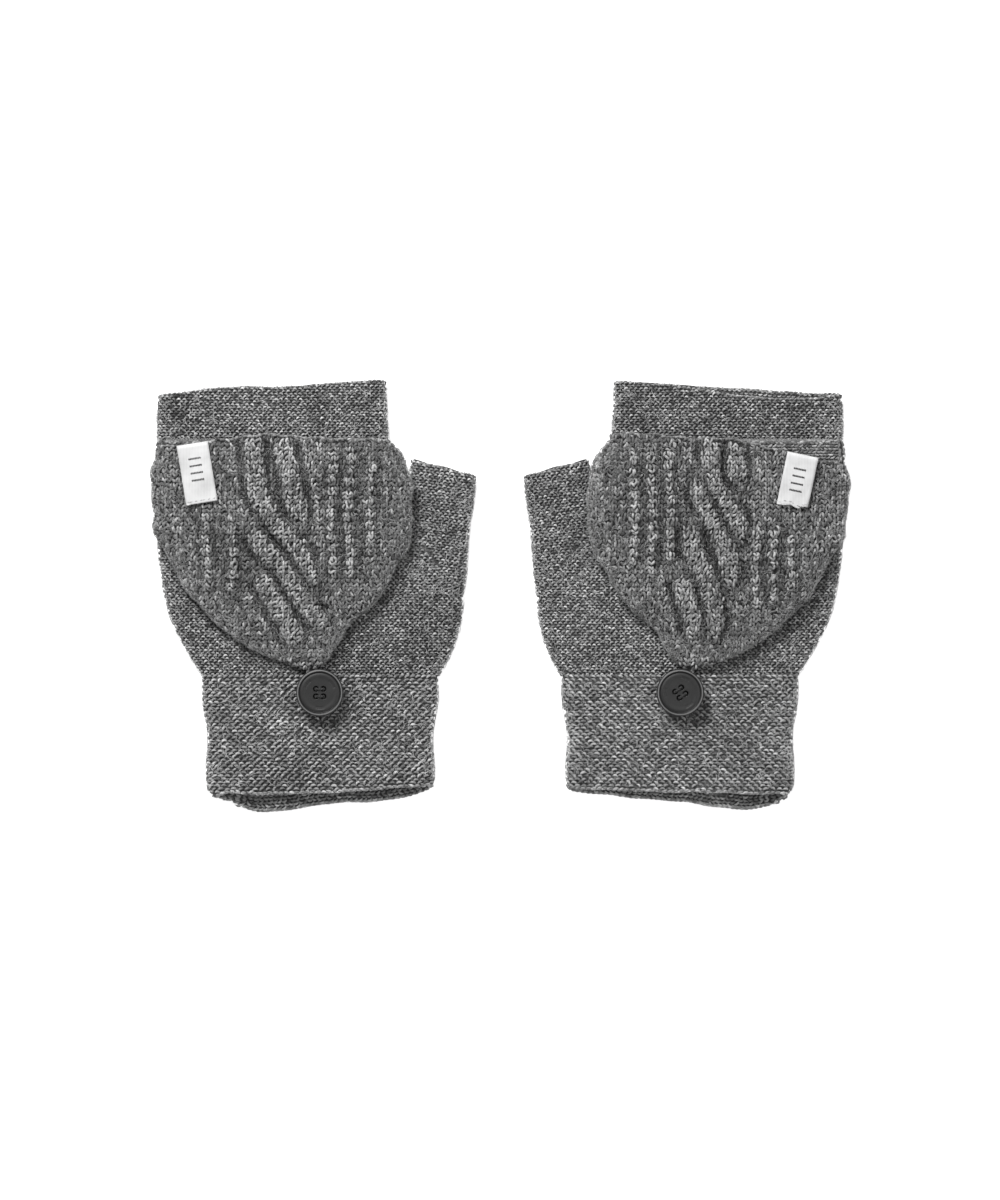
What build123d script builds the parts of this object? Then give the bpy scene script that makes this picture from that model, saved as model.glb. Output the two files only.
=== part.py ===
from build123d import *
import os
from math import acos, atan2, cos, degrees, hypot, radians, sin, sqrt

# A pair of convertible flip-top mittens, knitted, lying flat with the palms down and the backs up.
# Each mitten is a flat fingerless tube with a thumb stall and a coarser cuff. A pocket-shaped cap is
# hinged by a seam across the knuckles and folded back over the hand, where a yarn loop at its tip
# goes round a button on the cuff.
# Millimetres. +X runs across the pair, +Y towards the fingers and +Z up. The origin is under the
# middle of the pair, on the surface it lies on. A mitten's own plan coordinates are measured from
# the cuff's centre line, with the thumb on the positive side: the left mitten is made in them and
# moved to its place, and the right one is its mirror image.

# ---------------------------------------------------------------- lengths, along the mitten
CUFF_LENGTH = 52.0
PALM_LENGTH = 94.2          # cuff seam to knuckle seam
BAND_LENGTH = 23.8          # knuckle seam to the finger edge
LIP_SET_BACK = 7.0          # the cuff's upper layer ends this far short of the lower one
FINGER_EDGE_RISE = 5.2      # the finger edge climbs this much towards the thumb side
CUFF_CORNER = 7.0           # rounding of the cuff's two corners in plan

# ---------------------------------------------------------------- widths, from the cuff's centre line
PAIR_SPACING = 144.0        # between the two cuffs' centre lines
CUFF_WIDTH = 91.0           # over the straight part
CUFF_TOP_WIDTH = 95.4       # at the cuff seam
HAND_OUTER = 65.2           # little-finger edge
HAND_INNER = 57.4           # thumb-side edge, where the thumb begins
CROTCH_INNER = 33.0         # thumb-side edge at the crotch of the thumb
KNUCKLE_INNER = 27.4        # thumb-side edge at the knuckles
BAND_TAPER = 0.6            # the finger edge is this much narrower on each side

# ---------------------------------------------------------------- thumb stall, in plan
THUMB_BASE_UP = 31.0        # thumb's lower corner above the cuff seam
CROTCH_UP = 62.6            # crotch above the cuff seam
THUMB_TOP_INNER = (36.2, 85.8)   # across from the centre line, up from the cuff seam
THUMB_TOP_OUTER = (62.4, 79.4)
THUMB_SEAM_WIDTH = 1.2

# ---------------------------------------------------------------- thicknesses
HAND_WALL = 1.4
HAND_HOLLOW = 4.4           # free height inside the flat hand
CUFF_WALL = 2.0
CUFF_HOLLOW = 4.4
CUFF_SEAM_WIDTH = 1.2
CUFF_SEAM_PROUD = 0.4
EDGE_ROUND = 0.46           # edge radius of a flat tube, as a share of its height

# ---------------------------------------------------------------- cap
CAP_OUTER = 67.2            # widest reach on the little-finger side
CAP_INNER = 36.6            # widest reach on the thumb side
CAP_WALL = 1.8
CAP_SIDE_WALL = 2.2
CAP_HOLLOW = 5.0            # free height inside the pocket
CAP_HEM = 3.0
KNUCKLE_SEAM_RADIUS = 1.2
KNUCKLE_SEAM_FOOT = 1.4
SEAM_CLEARANCE = 0.4        # between the knuckle seam and the cap's lower layer
REST_CLEARANCE = 0.3        # between the cap and the hand under it
BAND_CLEARANCE = 1.2        # between the finger band and the pocket's walls as the cap goes over

# Cap outline from the knuckle seam to the tip: share of the cap's length, reach on the outer and
# on the inner side as shares of the widest, and thickness as a share of the full one.
CAP_OUTLINE = [
    (0.00, 0.970, 0.779, 1.00),
    (0.07, 0.985, 0.918, 1.00),
    (0.26, 1.000, 1.000, 1.00),
    (0.43, 0.961, 0.985, 1.00),
    (0.53, 0.884, 0.869, 1.00),
    (0.68, 0.759, 0.639, 0.95),
    (0.82, 0.573, 0.300, 0.84),
    (0.93, 0.335, 0.110, 0.67),
    (1.00, 0.126, 0.010, 0.53),
]
LAST_HOLLOW_STATION = 0.93
HOLLOW_ROUND = 0.3          # corner radius of the pocket's hollow, as a share of its height
FLAT_SHARE = 0.53           # the cap is full thickness up to here

# ---------------------------------------------------------------- button, thread and loop
BUTTON_RADIUS = 9.5
BUTTON_THICKNESS = 2.8
BUTTON_DROP = 6.4           # button centre below the cuff seam
BUTTON_RIM = 1.6
BUTTON_RECESS = 0.5
BUTTON_HOLE_RADIUS = 1.15
BUTTON_HOLE_SPACING = 3.0
BUTTON_TURN = {"left": 0.0, "right": 35.0}
THREAD_RADIUS = 0.65
SHANK_RADIUS = 1.2
SHANK_CLEARANCE = 0.3
TURN_CLEARANCE = 0.1
TIP_GAP = 1.4               # cap tip to the button's edge, in plan
LOOP_YARN = 1.5
LOOP_CLEARANCE = 0.3        # between the loop and the thread shank
LOOP_OVER_SEAM = 0.2        # between the loop and the cuff seam under it
LOOP_HEADROOM = 1.5         # between the loop and the button's underside, for the button's tilt
LOOP_LEG_SPREAD = 3.2

# ---------------------------------------------------------------- label
LABEL_WIDTH = 12.6
LABEL_THICKNESS = 0.4
LABEL_DROP = 25.0           # outer leg, from the hem's edge
LABEL_TUCK = 8.0            # inner leg
LABEL_TURN = 9.3            # degrees
LABEL_OUT = 50.9            # label's centre at the hem, from the cuff's centre line
STITCH_COUNT = 7
STITCH_LENGTH = 1.1
STITCH_WIDTH = 0.35
STITCH_HEIGHT = 0.25
STITCH_MARGIN = 0.9         # stitches from the label's edges

# ---------------------------------------------------------------- places worked out from the above
MITTEN_LENGTH = CUFF_LENGTH + PALM_LENGTH + BAND_LENGTH
LIP_Y = -MITTEN_LENGTH / 2
CUFF_Y = LIP_Y + CUFF_LENGTH
KNUCKLE_Y = CUFF_Y + PALM_LENGTH
FINGER_Y = KNUCKLE_Y + BAND_LENGTH
THUMB_BASE = (HAND_INNER, CUFF_Y + THUMB_BASE_UP)
CROTCH = (CROTCH_INNER, CUFF_Y + CROTCH_UP)
HAND_HEIGHT = HAND_HOLLOW + 2 * HAND_WALL
CUFF_HEIGHT = CUFF_HOLLOW + 2 * CUFF_WALL
CAP_HEIGHT = CAP_HOLLOW + 2 * CAP_WALL
CAP_BOTTOM = HAND_HEIGHT + REST_CLEARANCE
CAP_TOP = CAP_BOTTOM + CAP_HEIGHT
HINGE_Z = CAP_BOTTOM + CAP_WALL / 2
BUTTON_Y = CUFF_Y - BUTTON_DROP
TIP_Y = BUTTON_Y + BUTTON_RADIUS + TIP_GAP
CAP_LENGTH = KNUCKLE_Y - TIP_Y
TIP_X = (CAP_INNER * CAP_OUTLINE[-1][2] - CAP_OUTER * CAP_OUTLINE[-1][1]) / 2
TIP_MIDDLE = CAP_BOTTOM + CAP_OUTLINE[-1][3] * CAP_HEIGHT / 2
LOOP_LEVEL = max(TIP_MIDDLE, CUFF_HEIGHT + CUFF_SEAM_PROUD + LOOP_OVER_SEAM + LOOP_YARN / 2)
BUTTON_BOTTOM = LOOP_LEVEL + LOOP_YARN / 2 + LOOP_HEADROOM
FAR = 300.0                 # past everything, for cutting blocks
OVERRUN = 2.0               # how far a hollow runs past an open end


# ================================================================ shared shapes
def upright_section(start, end, bottom, top, corner):
    """A rounded rectangle standing over the plan line from start to end."""
    length = hypot(end[0] - start[0], end[1] - start[1])
    along = ((end[0] - start[0]) / length, (end[1] - start[1]) / length, 0)
    facing = (along[1], -along[0], 0)
    middle = ((start[0] + end[0]) / 2, (start[1] + end[1]) / 2, (bottom + top) / 2)
    plane = Plane(origin=middle, x_dir=along, z_dir=facing)
    return plane * RectangleRounded(length, top - bottom, corner)


def flat_tube(lines, height, wall=0.0):
    """The outside of a flat tube through plan lines, or its hollow when a wall is given."""
    corner = EDGE_ROUND * height - wall
    sections = []
    for start, end in lines:
        length = hypot(end[0] - start[0], end[1] - start[1])
        step = ((end[0] - start[0]) * wall / length, (end[1] - start[1]) * wall / length)
        inner_start = (start[0] + step[0], start[1] + step[1])
        inner_end = (end[0] - step[0], end[1] - step[1])
        sections.append(upright_section(inner_start, inner_end, wall, height - wall, corner))
    return loft(sections, ruled=True)


def plan_block(points, bottom=-OVERRUN, top=FAR):
    """A tall block with this outline in plan."""
    return Pos(0, 0, bottom) * extrude(make_face(Polyline(*points, close=True)), top - bottom)


def side_block(points):
    """A block that runs right across, with this outline in Y and Z."""
    return extrude(make_face(Plane.YZ * Polyline(*points, close=True)), FAR, both=True)


def moved(line, offset):
    """A plan line, shifted by an offset."""
    return tuple((point[0] + offset[0], point[1] + offset[1]) for point in line)


# ================================================================ hand and thumb
def hand_edges():
    """Plan lines of the hand tube, from the cuff seam to past the finger edge."""
    base = CUFF_TOP_WIDTH / 2
    curve = PALM_LENGTH * 0.56
    lines = []
    for rise in (0.0, 0.09, 0.2, 0.33):
        y = CUFF_Y + rise * PALM_LENGTH
        outer_share = 1 - (1 - (y - CUFF_Y) / curve) ** 2
        inner_share = 1 - (1 - (y - CUFF_Y) / THUMB_BASE_UP) ** 2
        outer = base + (HAND_OUTER - base) * outer_share
        inner = base + (HAND_INNER - base) * inner_share
        lines.append(((-outer, y), (inner, y)))
    crotch_share = 1 - (1 - min(CROTCH_UP / curve, 1.0)) ** 2
    lines.append(((-base - (HAND_OUTER - base) * crotch_share, CROTCH[1]), CROTCH))
    lines.append(((-HAND_OUTER, KNUCKLE_Y), (KNUCKLE_INNER, KNUCKLE_Y)))
    band_outer = HAND_OUTER - BAND_TAPER
    band_inner = KNUCKLE_INNER - BAND_TAPER
    lines.append(((-band_outer, FINGER_Y), (band_inner, FINGER_Y)))
    return lines


def thumb_lines():
    """Plan lines of the thumb stall: inside the hand, at its root and at its open top."""
    root = (CROTCH, THUMB_BASE)
    inner_top = (THUMB_TOP_INNER[0], CUFF_Y + THUMB_TOP_INNER[1])
    outer_top = (THUMB_TOP_OUTER[0], CUFF_Y + THUMB_TOP_OUTER[1])
    out = outward(*root)
    return [moved(root, (-8 * out[0], -8 * out[1])), root, (inner_top, outer_top)]


def outward(start, end):
    """The unit direction in plan square to a line, on the fingertip side of it."""
    length = hypot(end[0] - start[0], end[1] - start[1])
    return ((start[1] - end[1]) / length, (end[0] - start[0]) / length)


def open_ended(lines):
    """The same lines, with the last carried on past the open end."""
    way = outward(*lines[-1])
    return lines + [moved(lines[-1], (OVERRUN * way[0], OVERRUN * way[1]))]


def hand_and_thumb():
    """Hand tube, thumb seam and thumb stall, cut from one branched shell so that they meet."""
    hand_lines = hand_edges()
    outside = flat_tube(hand_lines, HAND_HEIGHT) + flat_tube(thumb_lines(), HAND_HEIGHT)
    start = moved(hand_lines[0], (0, -OVERRUN))
    hollow = flat_tube([start] + open_ended(hand_lines), HAND_HEIGHT, HAND_WALL)
    hollow += flat_tube(open_ended(thumb_lines()), HAND_HEIGHT, HAND_WALL)
    band_width = HAND_OUTER + KNUCKLE_INNER - 2 * BAND_TAPER
    slope = FINGER_EDGE_RISE / band_width
    inner_corner = KNUCKLE_INNER - BAND_TAPER
    keep = [(-FAR, -FAR), (FAR, -FAR), (FAR, FINGER_Y + slope * (FAR - inner_corner)),
            (-FAR, FINGER_Y - slope * (FAR + inner_corner))]
    seam_start = CUFF_Y + CUFF_SEAM_WIDTH / 2
    above_seam = plan_block([(-FAR, seam_start), (FAR, seam_start), (FAR, FAR), (-FAR, FAR)])
    shell = (outside - hollow) & plan_block(keep) & above_seam

    away = 2.5
    far_root = (CROTCH[0] + away * (THUMB_BASE[0] - CROTCH[0]),
                CROTCH[1] + away * (THUMB_BASE[1] - CROTCH[1]))
    thumb_side = plan_block([CROTCH, (CROTCH[0], FAR), (FAR, FAR), (FAR, far_root[1]), far_root])
    out = outward(CROTCH, THUMB_BASE)
    step = (THUMB_SEAM_WIDTH * out[0], THUMB_SEAM_WIDTH * out[1])
    strip = [CROTCH, far_root, *moved((far_root, CROTCH), step)]
    seam_zone = plan_block(strip)
    hand = shell - thumb_side
    seam = shell & seam_zone
    thumb = (shell & thumb_side) - seam_zone
    return hand, seam, thumb


# ================================================================ cuff
def cuff_lines():
    """Plan lines of the cuff, from its lip to the cuff seam, with rounded corners at the lip."""
    half = CUFF_WIDTH / 2
    lines = []
    for angle in (0, 30, 60, 90):
        inset = CUFF_CORNER * (1 - sin(radians(angle)))
        y = LIP_Y + CUFF_CORNER * (1 - cos(radians(angle)))
        lines.append(((-half + inset, y), (half - inset, y)))
    lines.append(((-half, CUFF_Y - 0.4 * CUFF_LENGTH), (half, CUFF_Y - 0.4 * CUFF_LENGTH)))
    lines.append(((-CUFF_TOP_WIDTH / 2, CUFF_Y), (CUFF_TOP_WIDTH / 2, CUFF_Y)))
    return lines


def cuff_hollow():
    """The space inside the cuff, run out past both ends."""
    half = CUFF_WIDTH / 2
    top_half = CUFF_TOP_WIDTH / 2
    y_values = [(half - CUFF_WALL, LIP_Y - OVERRUN), (half, CUFF_Y - 0.4 * CUFF_LENGTH),
                (top_half, CUFF_Y), (top_half, CUFF_Y + OVERRUN)]
    lines = [((-width, y), (width, y)) for width, y in y_values]
    return flat_tube(lines, CUFF_HEIGHT, CUFF_WALL)


def wrist_cuff():
    """The cuff, with its mouth cut aslant so that the lower layer shows past the upper one."""
    shell = flat_tube(cuff_lines(), CUFF_HEIGHT) - cuff_hollow()
    end = CUFF_Y - CUFF_SEAM_WIDTH / 2
    slope = LIP_SET_BACK / CUFF_HEIGHT
    keep = [(LIP_Y - slope * OVERRUN, -OVERRUN), (end, -OVERRUN), (end, FAR / 4),
            (LIP_Y + slope * FAR / 4, FAR / 4)]
    return shell & side_block(keep)


def cuff_seam():
    """The raised course where the cuff's ribbing changes to the hand's knitting."""
    start = CUFF_Y - CUFF_SEAM_WIDTH / 2
    end = CUFF_Y + CUFF_SEAM_WIDTH / 2
    half = CUFF_TOP_WIDTH / 2 + CUFF_SEAM_PROUD
    ring = flat_tube([((-half, y), (half, y)) for y in (start, end)], CUFF_HEIGHT + CUFF_SEAM_PROUD)
    half = CUFF_TOP_WIDTH / 2
    lines = [((-half, y), (half, y)) for y in (start - OVERRUN, end + OVERRUN)]
    return ring - flat_tube(lines, HAND_HEIGHT, HAND_WALL)


# ================================================================ cap
def cap_y(share):
    return KNUCKLE_Y - share * CAP_LENGTH


def cap_body():
    """The cap's outside, from the knuckle seam to its tip."""
    sections = []
    for share, outer, inner, thickness in CAP_OUTLINE:
        height = thickness * CAP_HEIGHT
        line = ((-outer * CAP_OUTER, cap_y(share)), (inner * CAP_INNER, cap_y(share)))
        sections.append(upright_section(*line, CAP_BOTTOM, CAP_BOTTOM + height, 0.42 * height))
    return loft(sections, ruled=True)


def cap_hollow():
    """The pocket's hollow, open at the knuckle seam."""
    floor = CAP_BOTTOM + CAP_WALL
    sections = []
    for share, outer, inner, thickness in CAP_OUTLINE:
        if share > LAST_HOLLOW_STATION:
            continue
        side = CAP_SIDE_WALL * (1 + 1.4 * share ** 2)
        height = thickness * CAP_HEIGHT - 2 * CAP_WALL
        left = -outer * CAP_OUTER + side
        right = inner * CAP_INNER - side
        if share == 0:
            ahead = cap_y(share) + OVERRUN
            sections.append(upright_section((left, ahead), (right, ahead), floor, floor + height,
                                            HOLLOW_ROUND * height))
        line = ((left, cap_y(share)), (right, cap_y(share)))
        sections.append(upright_section(*line, floor, floor + height, HOLLOW_ROUND * height))
    return loft(sections, ruled=True)


def cap_layers():
    """Lower layer with its rim, upper layer, and the hem round the pocket's mouth."""
    shell = cap_body() - cap_hollow()
    floor = CAP_BOTTOM + CAP_WALL
    split = floor + CAP_HOLLOW / 2
    reach = sqrt(BAND_LENGTH ** 2 + HINGE_Z ** 2) + BAND_CLEARANCE
    rim_y = KNUCKLE_Y - reach
    past = KNUCKLE_Y + OVERRUN
    beyond = TIP_Y - OVERRUN
    upper_zone = side_block([(beyond, LOOP_LEVEL), (TIP_Y, LOOP_LEVEL), (cap_y(FLAT_SHARE), split),
                             (rim_y, split), (rim_y, floor), (past, floor), (past, FAR / 4),
                             (beyond, FAR / 4)])
    hem_y = KNUCKLE_Y - CAP_HEM
    hem_zone = side_block([(hem_y, 0), (past, 0), (past, FAR / 4), (hem_y, FAR / 4)])
    round_y = KNUCKLE_Y - KNUCKLE_SEAM_RADIUS - SEAM_CLEARANCE - CAP_WALL / 2
    sheet_zone = side_block([(beyond, 0), (round_y, 0), (round_y, FAR / 4), (beyond, FAR / 4)])

    upper = shell & upper_zone
    hem = upper & hem_zone
    upper = upper - hem_zone
    lower = (shell - upper_zone) & sheet_zone
    bead_left = -CAP_OUTLINE[0][1] * CAP_OUTER + CAP_SIDE_WALL
    bead_right = CAP_OUTLINE[0][2] * CAP_INNER - CAP_SIDE_WALL
    bead = Cylinder(CAP_WALL / 2, bead_right - bead_left, rotation=(0, 90, 0))
    lower += Pos((bead_left + bead_right) / 2, round_y, HINGE_Z) * bead
    return lower, upper, hem


def knuckle_seam():
    """The linking seam that hinges the cap: a yarn bead on the hinge line, on a narrow foot."""
    corner = HOLLOW_ROUND * CAP_HOLLOW
    left = -CAP_OUTLINE[0][1] * CAP_OUTER + CAP_SIDE_WALL + corner
    right = CAP_OUTLINE[0][2] * CAP_INNER - CAP_SIDE_WALL - corner
    middle = (left + right) / 2
    bead = Cylinder(KNUCKLE_SEAM_RADIUS, right - left, rotation=(0, 90, 0))
    lift = HINGE_Z - HAND_HEIGHT
    foot = Pos(middle, KNUCKLE_Y, HAND_HEIGHT + lift / 2) * Box(right - left, KNUCKLE_SEAM_FOOT, lift)
    bead = Pos(middle, KNUCKLE_Y, HINGE_Z) * bead
    under = side_block([(-FAR, 0), (FAR, 0), (FAR, HAND_HEIGHT), (-FAR, HAND_HEIGHT)])
    return (bead + foot) - under


def yarn_loop():
    """The loop: two legs out of the cap's tip, tangent to an arc round the button's thread shank."""
    radius = SHANK_RADIUS + LOOP_CLEARANCE + LOOP_YARN / 2
    ends = []
    for side in (-1, 1):
        foot = (TIP_X + side * LOOP_LEG_SPREAD / 2, TIP_Y)
        distance = hypot(foot[0], foot[1] - BUTTON_Y)
        bearing = degrees(atan2(foot[1] - BUTTON_Y, foot[0]))
        bearing -= side * degrees(acos(radius / distance))
        ends.append((foot, bearing))
    (left_foot, left_angle), (right_foot, right_angle) = ends
    arc = CenterArc((0, BUTTON_Y, LOOP_LEVEL), radius, left_angle, right_angle + 360 - left_angle)
    left_leg = Line((left_foot[0], left_foot[1], LOOP_LEVEL), arc @ 0)
    right_leg = Line(arc @ 1, (right_foot[0], right_foot[1], LOOP_LEVEL))
    path = Wire([left_leg.edge(), arc.edge(), right_leg.edge()])
    start = Plane(origin=path @ 0, z_dir=path % 0)
    tube = sweep(start * Circle(LOOP_YARN / 2), path=path)
    return tube & plan_block([(-FAR, -FAR), (FAR, -FAR), (FAR, TIP_Y), (-FAR, TIP_Y)])


# ================================================================ button and its thread
def hole_places():
    half = BUTTON_HOLE_SPACING / 2
    return [(x, y) for x in (-half, half) for y in (-half, half)]


def button(turn):
    """A four-hole button with a rolled rim round a sunken face."""
    top = BUTTON_BOTTOM + BUTTON_THICKNESS
    disc = Pos(0, 0, BUTTON_BOTTOM) * Cylinder(BUTTON_RADIUS, BUTTON_THICKNESS,
                                               align=(Align.CENTER, Align.CENTER, Align.MIN))
    disc = fillet(disc.edges().filter_by(GeomType.CIRCLE), 0.9)
    face_radius = BUTTON_RADIUS - BUTTON_RIM
    disc -= Pos(0, 0, top - BUTTON_RECESS) * Cylinder(face_radius, BUTTON_THICKNESS,
                                                      align=(Align.CENTER, Align.CENTER, Align.MIN))
    for x, y in hole_places():
        disc -= Pos(x, y, 0) * Cylinder(BUTTON_HOLE_RADIUS, FAR)
    return Pos(0, BUTTON_Y, 0) * Rot(0, 0, turn) * disc


def button_thread(turn):
    """Two sewn bars, each down through a pair of holes."""
    face = BUTTON_BOTTOM + BUTTON_THICKNESS - BUTTON_RECESS
    low_align = (Align.CENTER, Align.CENTER, Align.MIN)
    bars = []
    for y in (-BUTTON_HOLE_SPACING / 2, BUTTON_HOLE_SPACING / 2):
        bar = Pos(0, y, face) * Box(BUTTON_HOLE_SPACING, 2 * THREAD_RADIUS, 2 * THREAD_RADIUS,
                                    align=low_align)
        for x in (-BUTTON_HOLE_SPACING / 2, BUTTON_HOLE_SPACING / 2):
            height = face + 2 * THREAD_RADIUS - BUTTON_BOTTOM
            bar += Pos(x, y, BUTTON_BOTTOM) * Cylinder(THREAD_RADIUS, height, align=low_align)
        bars.append(Pos(0, BUTTON_Y, 0) * Rot(0, 0, turn) * bar)
    return Compound(children=[bar.solid() for bar in bars])


def thread_shank():
    """The wound thread that carries the button off the cuff."""
    bottom = CUFF_HEIGHT + SHANK_CLEARANCE
    height = BUTTON_BOTTOM - TURN_CLEARANCE - bottom
    return Pos(0, BUTTON_Y, bottom) * Cylinder(SHANK_RADIUS, height,
                                               align=(Align.CENTER, Align.CENTER, Align.MIN))


# ================================================================ label
def label_frame():
    """The label's own frame: centred on its fold line at the hem, turned as it is sewn."""
    return Pos(-LABEL_OUT, KNUCKLE_Y, 0) * Rot(0, 0, LABEL_TURN)


def label():
    """A woven label folded over the hem, with one leg on the cap and one inside the pocket."""
    ceiling = CAP_TOP - CAP_WALL
    legs = []
    for drop, level in ((LABEL_DROP, CAP_TOP), (LABEL_TUCK, ceiling - LABEL_THICKNESS)):
        corners = (Align.CENTER, Align.MAX, Align.MIN)
        leg = Box(LABEL_WIDTH, drop + OVERRUN, LABEL_THICKNESS, align=corners)
        legs.append(label_frame() * Pos(0, OVERRUN, level) * leg)
    behind = plan_block([(-FAR, -FAR), (FAR, -FAR), (FAR, KNUCKLE_Y), (-FAR, KNUCKLE_Y)])
    width = LABEL_WIDTH / cos(radians(LABEL_TURN))
    height = CAP_WALL + 2 * LABEL_THICKNESS
    fold = Box(width, LABEL_THICKNESS, height, align=(Align.CENTER, Align.MIN, Align.MIN))
    fold = Pos(-LABEL_OUT, KNUCKLE_Y, ceiling - LABEL_THICKNESS) * fold
    return ((legs[0] + legs[1]) & behind) + fold


def label_stitches():
    """Short stitches in a row along the label's lower edge."""
    span = LABEL_WIDTH - 2 * STITCH_MARGIN - STITCH_LENGTH
    stitches = []
    for number in range(STITCH_COUNT):
        x = -span / 2 + span * number / (STITCH_COUNT - 1)
        stitch = Box(STITCH_LENGTH, STITCH_WIDTH, STITCH_HEIGHT,
                     align=(Align.CENTER, Align.CENTER, Align.MIN))
        place = label_frame() * Pos(x, STITCH_MARGIN - LABEL_DROP, CAP_TOP + LABEL_THICKNESS)
        stitches.append((place * stitch).solid())
    return Compound(children=stitches)


# ================================================================ the pair
def mitten(side):
    """Every piece of one mitten by name, at its place in the pair."""
    hand, thumb_ring, thumb = hand_and_thumb()
    lower, upper, hem = cap_layers()
    mirrored_turn = -BUTTON_TURN[side] if side == "right" else BUTTON_TURN[side]
    pieces = {
        "hand_tube": hand,
        "thumb_seam": thumb_ring,
        "thumb_stall": thumb,
        "wrist_cuff": wrist_cuff(),
        "cuff_seam": cuff_seam(),
        "knuckle_seam": knuckle_seam(),
        "cap_lower": lower,
        "cap_upper": upper,
        "cap_hem": hem,
        "yarn_loop": yarn_loop(),
        "button": button(mirrored_turn),
        "button_thread": button_thread(mirrored_turn),
        "thread_shank": thread_shank(),
        "label": label(),
        "label_stitches": label_stitches(),
    }
    placed = {}
    for name, piece in pieces.items():
        piece = Pos(-PAIR_SPACING / 2, 0, 0) * piece
        placed[name] = mirror(piece, about=Plane.YZ) if side == "right" else piece
    return placed


os.makedirs("parts", exist_ok=True)
for side in ("left", "right"):
    for name, piece in mitten(side).items():
        export_step(piece, f"parts/{side}_{name}.step")
        print(f"{side}_{name}: {len(piece.solids())} solid(s), {piece.volume / 1000:.2f} cm3")
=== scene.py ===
# %% [markdown]
# # A pair of convertible flip-top mittens
# Each mitten is a flat knitted tube without fingers, with a thumb stall and a coarser cuff. A pocket
# shaped cap is sewn across the knuckles. It is folded back over the hand here, and a yarn loop at its
# tip goes round a button on the cuff. The CAD model has already settled every size and every joint, so
# this lesson only gives the mittens their looks, and it starts by loading that model as a fixed frame.

# %% Load the frame
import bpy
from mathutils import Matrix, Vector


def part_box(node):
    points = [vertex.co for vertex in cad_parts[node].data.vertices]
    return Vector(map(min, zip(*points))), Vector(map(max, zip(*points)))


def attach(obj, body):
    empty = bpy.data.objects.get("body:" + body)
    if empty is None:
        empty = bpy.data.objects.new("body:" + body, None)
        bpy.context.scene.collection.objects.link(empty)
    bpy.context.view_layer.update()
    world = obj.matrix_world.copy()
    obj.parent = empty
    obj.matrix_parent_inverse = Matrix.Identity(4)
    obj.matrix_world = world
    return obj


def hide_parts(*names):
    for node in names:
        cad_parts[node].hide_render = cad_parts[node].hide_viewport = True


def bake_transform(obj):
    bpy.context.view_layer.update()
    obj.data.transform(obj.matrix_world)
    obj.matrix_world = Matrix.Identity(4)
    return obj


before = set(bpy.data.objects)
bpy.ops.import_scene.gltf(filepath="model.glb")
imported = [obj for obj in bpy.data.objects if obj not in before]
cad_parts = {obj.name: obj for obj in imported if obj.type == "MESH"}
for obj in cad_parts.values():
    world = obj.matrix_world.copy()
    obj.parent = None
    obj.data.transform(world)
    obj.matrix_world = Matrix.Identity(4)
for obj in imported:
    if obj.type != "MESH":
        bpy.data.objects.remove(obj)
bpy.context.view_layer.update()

from types import SimpleNamespace

import bpy
import numpy as np
from mathutils import Vector

# %% [markdown]
# A knitter thinks in millimetres, and Blender's unit is the metre, so all the shapes below are worked
# out in millimetres and turned into metres in one place. A mitten has its own plan coordinates: u runs
# across it from the cuff's centre line, with the thumb on the positive side, v runs towards the
# fingers, and z is up. The left mitten uses them as they are and the right one is their mirror image.
# The levels and lengths that the CAD model settled are read from its nodes.

# %% Measures
MM = 0.001
SIDES = ("left", "right")


def span(node):
    """A node's lowest and highest corners at rest, in millimetres."""
    low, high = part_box(node)
    return np.array(low, float) / MM, np.array(high, float) / MM


CENTRE = {side: float(np.mean([corner[0] for corner in span(f"{side}_wrist_cuff")])) for side in SIDES}
CUFF_V = float(np.mean([corner[1] for corner in span("left_cuff_seam")]))
CUFF_HALF_HEIGHT = span("left_wrist_cuff")[1][2] / 2
HAND_HALF_HEIGHT = span("left_hand_tube")[1][2] / 2
FINGER_V = span("left_hand_tube")[1][1]
KNUCKLE_V = span("left_cap_hem")[1][1]
CAP_FLOOR = span("left_cap_lower")[0][2]
CAP_TOP = span("left_cap_upper")[1][2]
TIP_DROOP = 1.8                    # the yarn drawn in at the cap's tip hangs this far over the loop's root
TIP_V = min(span("left_cap_upper")[0][1], span("left_cap_lower")[0][1]) - TIP_DROOP
BUTTON_LOW, BUTTON_HIGH = span("left_button")
BUTTON_V = float(BUTTON_LOW[1] + BUTTON_HIGH[1]) / 2
print(f"cuff seam {CUFF_V:.1f}, knuckles {KNUCKLE_V:.1f}, fingers {FINGER_V:.1f}, cap tip {TIP_V:.1f} mm")

# %% [markdown]
# Knitted edges are never straight, so outlines are drawn as smooth curves through a few points. The
# curve used here is the plain cubic one: between two points it has, at each of them, the slope of the
# line that joins the neighbours. It never needs solving, and it bends only where a point asks for it.


# %% Smooth curves and gentle swells
def smooth(x, points):
    """A curve through (place, value) points: a cubic between each two, whose slope at a point is that
    of the line between its neighbours. Outside the points it keeps the end values."""
    places, values = np.array(points, float).T
    slopes = np.gradient(values, places)
    x = np.clip(np.asarray(x, float), places[0], places[-1])
    i = np.clip(np.searchsorted(places, x) - 1, 0, len(places) - 2)
    gap = places[i + 1] - places[i]
    t = (x - places[i]) / gap
    rise = t * t * (3 - 2 * t)
    bend = gap * t * (1 - t) * ((1 - t) * slopes[i] - t * slopes[i + 1])
    return values[i] + (values[i + 1] - values[i]) * rise + bend


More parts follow.
